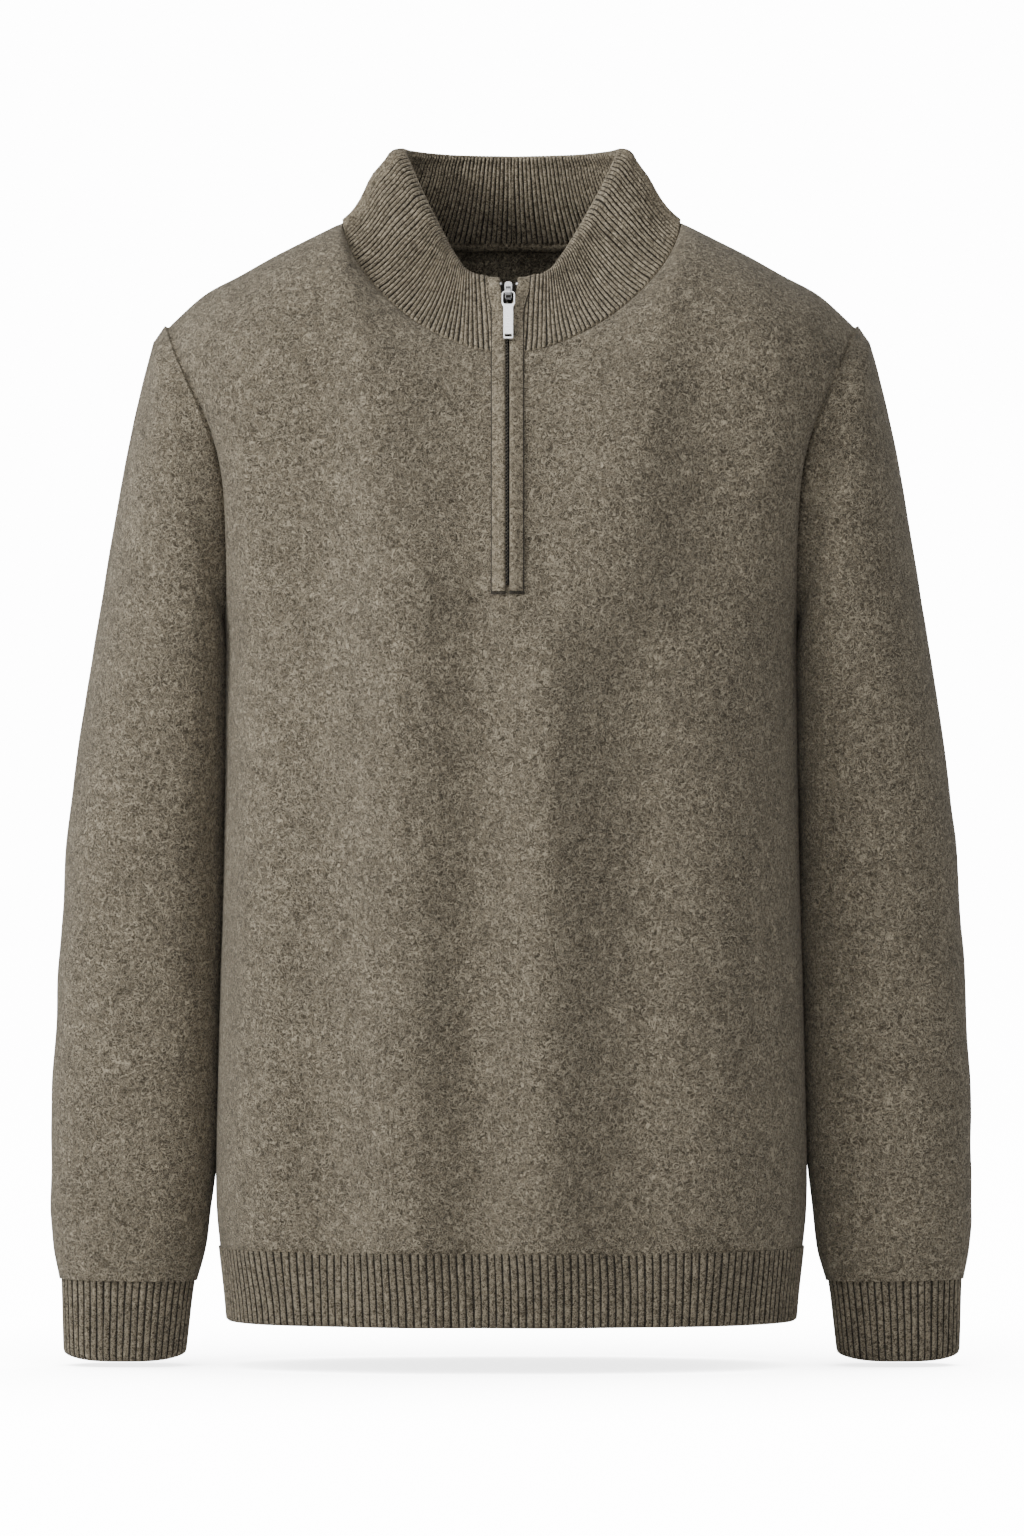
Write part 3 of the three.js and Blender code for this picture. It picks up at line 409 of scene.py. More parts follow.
# Eases the cloth down its length round the armpit's height, in the rows near the middle one
def ease_rows(net, middle, columns, reach=9):
    top = middle - reach
    for _ in range(10):
        before = [list(line) for line in net[top:middle + reach + 1]]
        for k in range(1, 2 * reach):
            share = 0.5 * smooth(min(k, 2 * reach - k) / 4)
            for c, (column, _side) in enumerate(columns):
                if column < 1:
                    continue
                point = (before[k - 1][c] + before[k + 1][c]) / 2
                net[top + k][c] = before[k][c].lerp(point, share * smooth((column - 0.9) / 2))


def panel_normals(net, columns, rise_of, facing):
    normals = net_normals(net, -1 if facing < 0 else 1)
    for c, (column, side) in enumerate(columns):
        if column <= SHOULDER_CELLS:
            normals[0][c].y = 0
            normals[0][c].normalize()
        if column > 0:
            continue
        for r, rise in enumerate(rise_of):
            if rise >= 0:
                normals[r][c] = armhole_out(facing, rise, side)
            else:
                normals[r][c].y = 0
                normals[r][c].normalize()
    return normals


# Soft unevenness that no two places of the cloth share
def uneven(point, seed):
    wide = drift(point.x, point.y, point.z * 0.6, 62, seed)
    small = drift(point.x, point.y, point.z, 21, seed + 9)
    return 0.75 * wide + 0.28 * small


def panel_piece(name, facing):
    net, columns, rise_of = panel_net(facing)
    normals = panel_normals(net, columns, rise_of, facing)
    shift = Vector((0, facing * SEAM_GAP / 2, 0))
    last_row, last = len(net) - 1, len(columns) - 1
    outer, inner = [], []
    for r, line in enumerate(net):
        outer.append([])
        inner.append([])
        for c, point in enumerate(line):
            inside = smooth(min(r, last_row - r, c, last - c) / 7)
            lift = uneven(point, facing * 3.1) * inside
            dip = max(seam_dip(r, last_row), seam_dip(c, last))
            outer[r].append(point + shift + normals[r][c] * (lift - dip))
            inner[r].append(point + shift + normals[r][c] * (lift - KNIT_WALL))
    middle = (last - 1) // 2

    def is_open(r, c):
        return facing < 0 and c == middle and -net[r + 1][c].z < SLIT_END

    return wall_piece(name, outer, inner, is_open)


# Sleeve from the armhole seam to the cuff
def sleeve_piece(name, side, per_side=36, rings=96):
    up = [(-1, i / per_side) for i in range(per_side + 1)]
    down = [(1, i / per_side) for i in range(per_side - 1, 0, -1)]
    seam_step = Vector((side * 0.04, 0, -0.03))
    start = [upper_point(facing, 0, rise, side) + seam_step for facing, rise in up + down]
    first, *others = [sleeve_ring(side, run, len(start)) for run in steps(rings)]
    eased = [[a.lerp(b, share) for a, b in zip(start, first)] for share in (0.12, 0.35, 0.65)]
    net = [start, *eased, first, *others]
    normals = net_normals(net, side, True)
    normals[0] = [armhole_out(facing, rise, side) for facing, rise in up + down]
    last_row = len(net) - 1
    outer, inner = [], []
    for r, line in enumerate(net):
        inside = smooth(min(r, last_row - r) / 9)
        dip = seam_dip(r, last_row)
        outer.append([])
        inner.append([])
        for c, point in enumerate(line):
            lift = (uneven(point, side * 5.7) + elbow_folds(point, side)) * inside
            outer[r].append(point + normals[r][c] * (lift - dip))
            inner[r].append(point + normals[r][c] * (lift - KNIT_WALL))
    return wall_piece(name, outer, inner, wraps=True)


# Height of a sleeve's slack creases, which differ a little between the two sleeves
def elbow_folds(point, side):
    height = 0
    across = abs(point.x) - 235
    for k, (drop, tilt, width, tall, way) in enumerate(CREASES):
        place = drop + tilt * across * way + 5 * side * math.sin(k * 2.3)
        facing = smooth(0.5 - 0.5 * way * (point.y - 8) / 45)
        height += tall * hill(-point.z, place, width) * facing
    return height


def sleeve_ring(side, run, count):
    out_x, out_z, in_x, in_z, y, deep = read(SLEEVE, run)
    outer_edge = Vector((side * out_x, 0, out_z))
    inner_edge = Vector((side * in_x, 0, in_z))
    middle = (outer_edge + inner_edge) / 2
    across = (outer_edge - inner_edge) / 2
    ring = []
    for i in range(count):
        angle = 2 * math.pi * i / count
        point = middle - across * rounded(math.cos(angle))
        point.y = y - deep * rounded(math.sin(angle))
        ring.append(point)
    return ring


# Height of a rib across its width, from groove to groove: broad and round with a narrow groove
def rib_profile(place):
    return abs(math.sin(math.pi * place)) ** 0.62


# Grooves between ribs take the second material of a ribbed piece, a dark wool that paints the shade in the
# grooves
def groove_shade_slot(_row, column):
    return 1 if column % len(RIB_STEPS) in (0, len(RIB_STEPS) - 1) else 0


# Places along a run for ribs that waver a little, and each place's height on its rib
def rib_places(ribs, row_share, waver=0.1, seed=0.0):
    places = []
    for i in range(ribs):
        sway = waver * drift(i * 37.0, row_share * 60, 0, 30, seed)
        for step in RIB_STEPS:
            places.append((clamp((i + step + sway) / ribs), rib_profile(step)))
    places.append((1.0, 0.0))
    return places


# Points at shares of a run of points, each with its outward direction in plan and its rib's height
def along_run(run, places, closed):
    line = run + [run[0]] if closed else run
    lengths = run_lengths(line)
    result = []
    i = 1
    for share, height in places:
        place = share * lengths[-1]
        if place < lengths[i - 1]:
            i = 1
        while i < len(line) - 1 and lengths[i] < place:
            i += 1
        along = line[min(i + 1, len(line) - 1)] - line[max(i - 2, 0)]
        point = line[i - 1].lerp(line[i], clamp((place - lengths[i - 1]) / (lengths[i] - lengths[i - 1])))
        result.append((point, Vector((along.y, -along.x, 0)).normalized(), height))
    return result


# A band ribbed on both faces, rounded off at its free edge; sections holds (share down, run of points)
def rib_band(name, sections, ribs, closed, seed):
    outer, inner = [], []
    count = len(sections)
    for r, (share, run) in enumerate(sections):
        places = rib_places(ribs, share, seed=seed)
        from_end = count - 1 - r
        round_off = (0.9, 0.25)[from_end] if from_end < 2 else 0
        tall = RIB_HEIGHT * (0.45 if from_end == 0 else 1)
        placed = along_run(run, places[:-1] if closed else places, closed)
        outer.append([p + out * (RIB_OUTER - round_off + tall * h) for p, out, h in placed])
        inner.append([p + out * (RIB_INNER + (round_off - tall * h) / 2) for p, out, h in placed])
    return wall_piece(name, outer, inner, wraps=closed, slot_of=groove_shade_slot)


def hem_piece(name, facing):
    sections = []
    for share in (0, 0.02, 0.06, 0.2, 0.35, 0.5, 0.65, 0.8, 0.92, 0.975, 1):
        drop = HEM_TOP - SEAM_TUCK + (HEM_BOTTOM - HEM_TOP + SEAM_TUCK) * share
        run = []
        for turn in steps(180):
            point = body_point(facing, math.pi * turn, drop) + Vector((0, facing * SEAM_GAP / 2, 0))
            run.append(toward_zip(point) if facing < 0 else point)
        if facing > 0:
            run.reverse()
        sections.append((share, run))
    return rib_band(name, sections, HEM_RIBS, False, facing * 2.0)


def cuff_piece(name, side):
    sections = []
    for share in (0, 0.02, 0.07, 0.22, 0.38, 0.54, 0.7, 0.84, 0.93, 0.975, 1):
        drop = CUFF[0][0] - SEAM_TUCK + (CUFF[-1][0] - CUFF[0][0] + SEAM_TUCK) * share
        middle, half, deep = read(CUFF, drop)
        run = []
        for turn in steps(144)[1:]:
            angle = 2 * math.pi * turn
            sag = 3.5 * abs(math.cos(angle)) ** 3 * smooth((share - 0.4) / 0.6)
            x = side * middle + half * rounded(math.cos(angle))
            run.append(Vector((x, deep * rounded(math.sin(angle)), -drop + sag)))
        sections.append((share, run))
    return rib_band(name, sections, CUFF_RIBS, True, side * 4.0)


# Seam and rolled top of the collar at a share of the way round
def collar_ends(turn_share):
    reach = 1 + neck_angle_at(SLIT_HALF) / (math.pi / 2)
    turn = (2 * turn_share - 1) * reach
    side = -1 if turn < 0 else 1
    facing = 1 if abs(turn) < 1 else -1
    degrees = 90 * abs(1 - abs(turn))
    seam = neck_point(facing, math.radians(degrees), side)
    seam.y += facing * SEAM_GAP / 2
    if facing > 0:
        degrees = math.degrees(math.acos(min(abs(seam.x) / NECK["half"], 1)))
    x, y, z = read(COLLAR_TOP[facing], degrees)
    return seam, Vector((side * x, y, z))


# Steps round the collar, and the seam's length up to each
TURNS = 1440
TURN_LENGTHS = run_lengths([collar_ends(turn)[0] for turn in steps(TURNS)])


# Share of the way round the collar at a share of the seam's length
def turn_at(share):
    place = share * TURN_LENGTHS[-1]
    i = min(bisect_right(TURN_LENGTHS, place), TURNS)
    before, after = TURN_LENGTHS[i - 1], TURN_LENGTHS[i]
    return (i - 1 + (place - before) / (after - before)) / TURNS


# The straight line of the collar's wall at one place round it, and its outward direction
def collar_line(turn):
    seam, top = collar_ends(turn)
    before = collar_ends(max(turn - 0.004, 0))
    after = collar_ends(min(turn + 0.004, 1))
    along = after[0] - before[0] + after[1] - before[1]
    out = along.cross(top - seam).normalized()
    if out.x * (seam.x + top.x) + out.y * (seam.y + top.y) < 0:
        out.negate()
    return seam, top, out


# A point of the collar's outer or inner face, nearly straight beside the zip and hollow elsewhere
def collar_point(line, up, face, lift=0.0):
    seam, top, out = line
    outer, inner = read(COLLAR_WALL, up)
    hollow = smooth((abs(seam.x) - 12) / 60)
    filled = (1 - hollow) * 0.8 * max(-outer, 0) if up < 0.9 else 0
    offset = filled + (outer if face == "outer" else inner)
    base = 0.0 if face == "outer" else -0.012
    point = seam.lerp(top, up + base * (1 - up)) + out * (offset + lift)
    return toward_zip(point)


# How far the collar's wall swells out: round its rolled edge and full at the sides of the neck
def collar_swell(seam, up):
    rolled = 1.9 * hill(up, 0.9, 0.1) - 0.9 * hill(up, 0.45, 0.25)
    fullness = 6.6 if seam.x < 0 else 4.6
    at_side = fullness * smooth((abs(seam.x) - 70) / 37) * hill(up, 0.56, 0.3)
    return rolled + at_side + 0.5 * drift(seam.x, seam.y, up * 40, 24, 4)


# Collar as a doubled rib wall with ribs on both faces, rolled over at its top
def collar_piece(name):
    outer, inner = [], []
    for up in COLLAR_UPS:
        at_seam = 0.35 if up < 0.01 else 1
        roll = 1 - 0.3 * smooth((up - 0.95) / 0.06)
        dip = 0.7 if up < 0.01 else (0.2 if up < 0.03 else 0)
        row_out, row_in = [], []
        for share, height in rib_places(COLLAR_RIBS, up, waver=0.16, seed=7.0):
            line = collar_line(turn_at(share))
            seam = line[0]
            off_zip = smooth((abs(seam.x) - 8.5) / 3) if seam.y < 0 else 1
            rib = 1.4 * RIB_HEIGHT * height**1.3 * at_seam * off_zip * roll
            swell = collar_swell(seam, up) * off_zip * smooth(up * 9)
            row_out.append(collar_point(line, up, "outer", swell + rib - dip))
            row_in.append(collar_point(line, up, "inner", swell - 0.9 * rib * (up < 1) + 0.3))
        outer.append(row_out)
        inner.append(row_in)
    return wall_piece(name, outer, inner, slot_of=collar_slot)


# The collar's painted groove shade ends short of its seam, its rolled edge and the strips beside the zip
def collar_slot(row, column):
    last = COLLAR_RIBS * len(RIB_STEPS)
    ribbed = len(RIB_STEPS) < column < last - len(RIB_STEPS) and 0 < row < len(COLLAR_UPS) - 2
    return groove_shade_slot(row, column) if ribbed else 0


# Rows of cloth beside the zip, each from left to right, from the slit's end up the front and the collar
def zip_rows():
    net, columns, _ = panel_net(-1)
    middle = len(columns) // 2 - 1
    rows = [line for line in reversed(net) if -line[middle].z < STRIPS["end"] + 9]
    for up in (0.08, 0.16, 0.29, 0.42, 0.57, 0.72, 0.82, 0.89, 0.93):
        turns = [0.006 * k for k in range(8, -1, -1)] + [1 - 0.006 * k for k in range(9)]
        rows.append([collar_point(collar_line(turn), up, "outer") for turn in turns])
    return rows


ZIP_ROWS = zip_rows()


# The point of a row at a place across
def on_row(row, x):
    i = 1
    while i < len(row) - 1 and row[i].x < x:
        i += 1
    return row[i - 1].lerp(row[i], (x - row[i - 1].x) / (row[i].x - row[i - 1].x))


# How far each strip parts from the middle toward the collar's top
def flare(z):
    return 4.2 * smooth((z + 63) / 22)


# Line beside the zip at a distance across, starting a set way down the front
def zip_line(across, side=1, flared=False, start=STRIPS["end"]):
    line = []
    for row in ZIP_ROWS:
        apart = flare(on_row(row, ZIP_X).z) if flared else 0
        line.append(on_row(row, ZIP_X + apart * 0.2 + side * (across + apart)))
    while -line[1].z > start:
        line.pop(0)
    first = (start + line[0].z) / (line[0].z - line[1].z)
    line[0] = line[0].lerp(line[1], first)
    return line


# Carries a line on over the collar's rolled top and down inside
def over_top(line):
    top = line[-1]
    along = top - line[-3]
    along.x = 0
    along.normalize()
    inward = Vector((0, along.z, -along.y))
    turn = [(0.7, 0.3), (1.2, 1.1), (1.4, 2.4), (1.0, 3.8), (-0.2, 5.0), (-2.2, 6.0), (-4.5, 6.9), (-7, 7.8)]
    return line + [top + along * up + inward * into for up, into in turn]


# Direction out of the cloth at a point of a line beside the zip
def line_out(line, i):
    along = line[min(i + 1, len(line) - 1)] - line[max(i - 1, 0)]
    along.x = 0
    along.normalize()
    return Vector((0, -along.z, along.y))


# Puts a section's points (across, out of the cloth) along the zip's line; a strip also turns over the collar
def along_zip(section, side, start, is_strip=False, share_at=None):
    lines = []
    for across, height in section:
        line = zip_line(across, side, is_strip, start)
        if is_strip:
            line = over_top(line)
        shares = [share_at(i, len(line)) if share_at else 1 for i in range(len(line))]
        lines.append([p + line_out(line, i) * (height * shares[i]) for i, p in enumerate(line)])
    return [list(row) for row in zip(*lines)]


def strip_piece(name, side):
    near, far, thick, end = STRIPS["near"], STRIPS["far"], STRIPS["thick"], STRIPS["end"]
    low = 0.45
    shape = [(0, 0.2), (0.012, 0.7), (0.045, 1.02), (0.12, 1.2), (0.26, 1.23), (0.46, 1.07), (0.66, 0.87),
             (0.83, 0.68), (0.92, 0.55), (0.96, 0.4), (1, 0.02)]
    section = [(near + (far - near) * t, low + thick * h) for t, h in shape]
    flat = [(near + (far - near) * t, low) for t, _ in shape]

    # Thinner at its lower end, and where the pull hangs over it on the collar
    def thinned(i, count):
        return (0.55, 0.9)[i] if i < 2 else 1 - 0.24 * smooth((i - count + 23) / 4)

    outer = along_zip(section, side, end, True, thinned)
    inner = along_zip(flat, side, end, True)

    # Painted shade along the strip's outer edge and at its lower end, where it lies on the front: these cells
    # take the dark second material
    def edge_shade_line(row, column):
        return 1 if row == 0 or column >= len(shape) - 3 else 0

    return wall_piece(name, outer, inner, slot_of=edge_shade_line)


def tape_piece(name, side):
    places = [TAPE["near"] + (TAPE["far"] - TAPE["near"]) * t for t in steps(5)]
    outer = along_zip([(x, -TAPE["sink"]) for x in places], side, TAPE["end"])
    inner = along_zip([(x, -TAPE["sink"] - TAPE["thick"]) for x in places], side, TAPE["end"])
    return wall_piece(name, outer, inner)


# Adds a small block, set by its middle, its three directions and its half sizes
def add_block(points, faces, middle, axes, half):
    start = len(points)
    for sx in (-1, 1):
        for sy in (-1, 1):
            for sz in (-1, 1):
                offset = axes[0] * half[0] * sx + axes[1] * half[1] * sy + axes[2] * half[2] * sz
                points.append(middle + offset)
    for face in ((0, 1, 3, 2), (4, 6, 7, 5), (0, 4, 5, 1), (2, 3, 7, 6), (0, 2, 6, 4), (1, 5, 7, 3)):
        faces.append([start + i for i in face])


# Teeth of the closed zip, by turns from the left and the right tape
def teeth_piece(name):
    line = zip_line(0, start=TAPE["end"])[:-2]
    lengths = run_lengths(line)
    points, faces = [], []
    i = 1
    for k in range(int(lengths[-1] / TOOTH_STEP)):
        place = (k + 0.5) * TOOTH_STEP
        while lengths[i] < place:
            i += 1
        at = line[i - 1].lerp(line[i], (place - lengths[i - 1]) / (lengths[i] - lengths[i - 1]))
        out = line_out(line, i - 1)
        along = Vector((0, out.z, -out.y))
        side = 1 if k % 2 else -1
        middle = at + out * (-0.15 - 0.45 * side) + ACROSS * (side * 0.3 - 0.35)
        add_block(points, faces, middle, (ACROSS, out, along), (0.42, 0.7, 0.4))
    piece = mesh_piece(name, points, faces)
    bevel = piece.modifiers.new("soft edges", "BEVEL")
    bevel.width = 0.16 * MM
    bevel.segments = 1
    return piece


# Narrow tape over the back neck seam, inside
def neck_tape_piece(name):
    net, columns, rise_of = panel_net(1)
    normals = panel_normals(net, columns, rise_of, 1)
    first = next(c for c, (column, _) in enumerate(columns) if column > SHOULDER_CELLS + 0.9)
    last = len(columns) - 1 - first
    shape = [(-1.9, 0.2), (-1.3, 0.9), (-0.2, 1.25), (1.2, 1.3), (2.6, 1.2), (3.4, 0.9), (3.9, 0.2)]
    outer, inner = [], []
    for distance, height in shape:
        row_a, row_b = [], []
        for c in range(first, last + 1):
            down = (net[3][c] - net[0][c]).normalized()
            base = net[0][c] + down * distance + Vector((0, SEAM_GAP / 2, 0))
            row_a.append(base - normals[0][c] * (KNIT_WALL + 0.3))
            row_b.append(base - normals[0][c] * (KNIT_WALL + 0.5 + height))
        outer.append(row_a)
        inner.append(row_b)
    return wall_piece(name, outer, inner)


# The hinge of the pull on the sloping collar front: its middle and the slope's directions
def hinge_frame():
    line = zip_line(0)
    low = next(p for p in line if p.z > -77)
    top = line[-3]
    along = (top - low).normalized()
    along.x = 0
    along.normalize()
    out = Vector((0, -along.z, along.y))
    share = (HINGE["z"] - low.z) / (top.z - low.z)
    base = low.lerp(top, share)
    base.x = ZIP_X + 0.5
    return base + out * HINGE["height"], along, out


# A flat metal shape from rings of points (across, up), given thickness and soft edges
def plate_piece(name, rings, thick, middle, along, out, bevel):
    curve = bpy.data.curves.new(name, "CURVE")
    curve.dimensions = "2D"
    curve.fill_mode = "BOTH"
    curve.extrude = (thick / 2 - bevel) * MM
    curve.bevel_depth = bevel * MM
    curve.bevel_resolution = 3
    curve.offset = -bevel * MM
    for ring in rings:
        spline = curve.splines.new("POLY")
        spline.points.add(len(ring) - 1)
        for point, (x, y) in zip(spline.points, ring):
            point.co = (x * MM, y * MM, 0, 1)
        spline.use_cyclic_u = True
    shape = add_object(name + "_shape", curve)
    mesh = bpy.data.meshes.new_from_object(shape.evaluated_get(bpy.context.evaluated_depsgraph_get()))
    bpy.data.objects.remove(shape)
    turn = Matrix((ACROSS, along, out)).transposed().to_4x4()
    mesh.transform(Matrix.Translation(middle * MM) @ turn)
    mesh.shade_smooth()
    mesh.set_sharp_from_angle(angle=math.radians(35))
    return add_object(name, mesh)


# Points round a rectangle with rounded corners, from its low and high corners
def round_box(low, high, radius, count=6):
    points = []
    corners = [(high[0] - radius, high[1] - radius, 0), (low[0] + radius, high[1] - radius, 90),
               (low[0] + radius, low[1] + radius, 180), (high[0] - radius, low[1] + radius, 270)]
    for x, y, start in corners:
        for k in range(count + 1):
            angle = math.radians(start + 90 * k / count)
            points.append((x + radius * math.cos(angle), y + radius * math.sin(angle)))
    return points


# The pull: an open loop at the hinge and a flat tab below it with a slot near its end
def pull_piece(name):
    middle, along, out = hinge_frame()
    half, tab, wire = PULL["loop_width"] / 2, PULL["tab_width"] / 2, PULL["wire"]
    top = wire / 2
    loop_end = top - PULL["loop_length"]
    end = loop_end - PULL["tab_length"]
    neck = loop_end + 1.6
    loop = round_box((-half, loop_end), (half, top), 2.6)
    split = next(i for i, (x, y) in enumerate(loop) if x < 0 and y <= neck)
    left = [(-tab - 0.5, loop_end + 0.5), (-tab, loop_end - 0.6), (-tab, end + 0.9),
            (-tab + 0.25, end + 0.25), (-tab + 0.9, end)]
    right = [(-x, y) for x, y in reversed(left)]
    outline = loop[:split] + left + right + [(x, y) for x, y in loop[split:] if x > 0 and y > neck]
    eye = round_box((-half + wire, neck), (half - wire, top - wire), 1.5)
    slot = round_box((-2.2, end + 1.4), (2.2, end + 3.2), 0.45)
    lean = Matrix.Rotation(-0.02, 3, ACROSS)
    return plate_piece(name, [outline, eye, slot], PULL["thick"], middle, lean @ along, lean @ out, 0.28)


# Small metal stops at the top of the zip's two tapes
def stops_piece(name):
    work = bmesh.new()
    for side in (-1, 1):
        line = zip_line(1.6, side, True)
        place = line[-2] + line_out(line, len(line) - 2) * 0.9
        turn = Matrix.Translation(place * MM) @ Matrix.Rotation(0.5 * side, 4, "Y")
        shape = turn @ Matrix.Diagonal((1.7 * MM, 1.2 * MM, 1.1 * MM, 1))
        bmesh.ops.create_icosphere(work, subdivisions=3, radius=1, matrix=shape)
    mesh = bpy.data.meshes.new(name)
    work.to_mesh(mesh)
    work.free()
    mesh.shade_smooth()
    return add_object(name, mesh)


# A flat side view (along, out) made solid across the zip, with soft edges
def profile_piece(name, outline, width, middle, along, out):
    points = [middle + along * a + out * h + ACROSS * x for x in (-width / 2, width / 2) for a, h in outline]
    count = len(outline)
    faces = [list(range(count)), [2 * count - 1 - i for i in range(count)]]
    faces += [(i, (i + 1) % count, (i + 1) % count + count, i + count) for i in range(count)]
    piece = mesh_piece(name, points, faces, sharp=30)
    bevel = piece.modifiers.new("soft edges", "BEVEL")
    bevel.width = 0.25 * MM
    bevel.segments = 3
    return piece


# Slider: a rounded plate between the strips, and a bridge over the pull's loop
def slider_pieces(name):
    middle, along, out = hinge_frame()
    floor = middle - out * 2.5
    plate_ring = [(-1.5, -4.4), (-2.1, -3.0), (-2.4, 2.5), (-2.6, 6), (-2.2, 7.9), (-1.1, 8.6), (0, 8.75)]
    ring = plate_ring + [(-x, y) for x, y in reversed(plate_ring[:-1])]
    plate = plate_piece(name, [ring], 1.3, floor, along, out, 0.3)
    outline = [(-3.4, 0.3), (-3.3, 2.6), (-2.8, 4.0), (-1.8, 4.75), (1.4, 4.75), (2.9, 4.1), (3.9, 2.8),
               (4.6, 0.3), (3.2, 0.3), (2.7, 2.2), (2.0, 3.2), (1.0, 3.6), (-1.3, 3.6), (-1.9, 3.2),
               (-2.3, 2.3), (-2.4, 0.3)]
    bridge = profile_piece(name + "_bridge", outline, 3.2, floor, along, out)
    return plate, bridge


# Brightness of the white surroundings as the camera sees them
BACKDROP = 14.0
# Depth in metres of the nap's bumps on ribs and strips
FINE_NAP = 0.0007
# Steps of colour for the heathered wool, in linear light
WOOL = {"dark": (0.086, 0.071, 0.048), "mid": (0.2, 0.168, 0.118), "light": (0.5, 0.433, 0.318)}


def color(value, gain=1.0):
    return tuple(min(v * gain, 1) for v in value) + (1,)


class Nodes:
    """Short names for building a material's nodes."""

    def __init__(self, name):
        self.material = bpy.data.materials.new(name)
        self.material.use_nodes = True
        self.tree = self.material.node_tree
        self.shader = self.tree.nodes["Principled BSDF"]
        self.place = self.add("ShaderNodeTexCoord").outputs["Object"]

    def add(self, kind, **settings):
        node = self.tree.nodes.new(kind)
        for key, value in settings.items():
            setattr(node, key, value)
        return node

    # Links another node's output to a socket, or sets the socket's own value
    def put(self, value, socket):
        if hasattr(value, "is_linked"):
            self.tree.links.new(value, socket)
        else:
            socket.default_value = value

    def feed(self, node, values):
        for key, value in values.items():
            self.put(value, node.inputs[key])
        return node

    def stretched(self, scale):
        mapping = self.add("ShaderNodeMapping")
        return self.feed(mapping, {"Scale": scale, "Vector": self.place}).outputs["Vector"]

    def noise(self, scale, detail=2.0, rough=0.5, bend=0.0, vector=None):
        values = {"Scale": scale, "Detail": detail, "Roughness": rough, "Distortion": bend}
        values["Vector"] = vector or self.place
        return self.feed(self.add("ShaderNodeTexNoise"), values).outputs["Fac"]

    def math(self, kind, a, b=None):
        node = self.add("ShaderNodeMath", operation=kind)
        self.put(a, node.inputs[0])
        if b is not None:
            self.put(b, node.inputs[1])
        return node.outputs[0]

    def ramp(self, value, low, high, out_low=0.0, out_high=1.0):
        node = self.add("ShaderNodeMapRange", clamp=True)
        values = {"Value": value, "From Min": low, "From Max": high, "To Min": out_low, "To Max": out_high}
        return self.feed(node, values).outputs["Result"]

    def mix(self, share, a, b, blend="MIX"):
        node = self.add("ShaderNodeMix", data_type="RGBA", blend_type=blend)
        return self.feed(node, {"Factor": share, "A": a, "B": b}).outputs["Result"]

    # Thin curly lines where a bent noise passes through its middle value
    def curls(self, scale, width, seed):
        shifted = self.add("ShaderNodeVectorMath", operation="ADD")
        self.put(self.place, shifted.inputs[0])
        self.put((seed, seed * 0.7, -seed), shifted.inputs[1])
        value = self.noise(scale, 1.0, 0.4, 1.3, shifted.outputs["Vector"])
        from_middle = self.math("ABSOLUTE", self.math("SUBTRACT", value, 0.5))
        return self.ramp(from_middle, width, width * 0.25)

    def bump(self, height, strength, distance):
        values = {"Strength": strength, "Distance": distance, "Height": height}
        return self.feed(self.add("ShaderNodeBump"), values).outputs["Normal"]


# Felted heather wool: mottled colour, curly light and dark fibres, soft nap
def wool(name, gain=1.0, curl_share=0.85, nap_depth=0.0013):
    n = Nodes(name)
    fine = n.noise(1200, 2, 0.65)
    heather = n.noise(430, 2, 0.65, 0.6)
    cloudy = n.noise(38, 2, 0.55)
    first_curls = n.curls(262, 0.05, 3.1)
    light_curls = n.math("MAXIMUM", first_curls, n.curls(200, 0.036, 8.4))
    dark_curls = n.math("MAXIMUM", n.curls(285, 0.055, 5.7), n.curls(212, 0.04, 1.9))
    base = n.mix(n.ramp(heather, 0.4, 0.62), color(WOOL["dark"], gain), color(WOOL["mid"], gain * 1.15))
    grain = n.mix(n.ramp(fine, 0.4, 0.7, 0, 0.55), base, color(WOOL["light"], gain * 0.85))
    shaded = n.mix(n.math("MULTIPLY", dark_curls, 0.85), grain, color(WOOL["dark"], gain * 0.6))
    lit = n.mix(n.math("MULTIPLY", light_curls, curl_share), shaded, color(WOOL["light"], gain))
    clouds = n.ramp(cloudy, 0.3, 0.7, 0.9, 1.08)
    grey = n.feed(n.add("ShaderNodeCombineColor"), {"Red": clouds, "Green": clouds, "Blue": clouds})
    nap = n.math("ADD", n.math("MULTIPLY", first_curls, 0.7), n.math("MULTIPLY", heather, 1.1))
    n.feed(n.shader, {
        "Base Color": n.mix(1, lit, grey.outputs["Color"], "MULTIPLY"),
        "Normal": n.bump(nap, 0.95, nap_depth),
        "Roughness": 0.95,
        "Specular IOR Level": 0.12,
        "Sheen Weight": 0.22,
        "Sheen Roughness": 0.55,
        "Sheen Tint": (0.9, 0.85, 0.76, 1),
    })
    return n.material


def tape_material(name):
    n = Nodes(name)
    weave = n.noise(1200, 2, 0.5, 0, n.stretched((1, 0.3, 2.2)))
    threads = n.mix(n.ramp(weave, 0.35, 0.65), color((0.012, 0.01, 0.008)), color((0.035, 0.03, 0.024)))
    n.feed(n.shader, {"Base Color": threads, "Normal": n.bump(weave, 0.4, 0.0002), "Roughness": 0.85})
    return n.material


def teeth_material(name):
    n = Nodes(name)
    worn = n.noise(900, 2)
    # The teeth's dark tone is painted shade of the slit between the strips; the worn noise varies tone and
    # roughness at random
    tone = n.mix(n.ramp(worn, 0.3, 0.7), color((0.2, 0.19, 0.165)), color((0.4, 0.37, 0.32)))
    rough = n.ramp(worn, 0.3, 0.7, 0.35, 0.5)
    n.feed(n.shader, {"Base Color": tone, "Roughness": rough, "Metallic": 0.4})
    return n.material


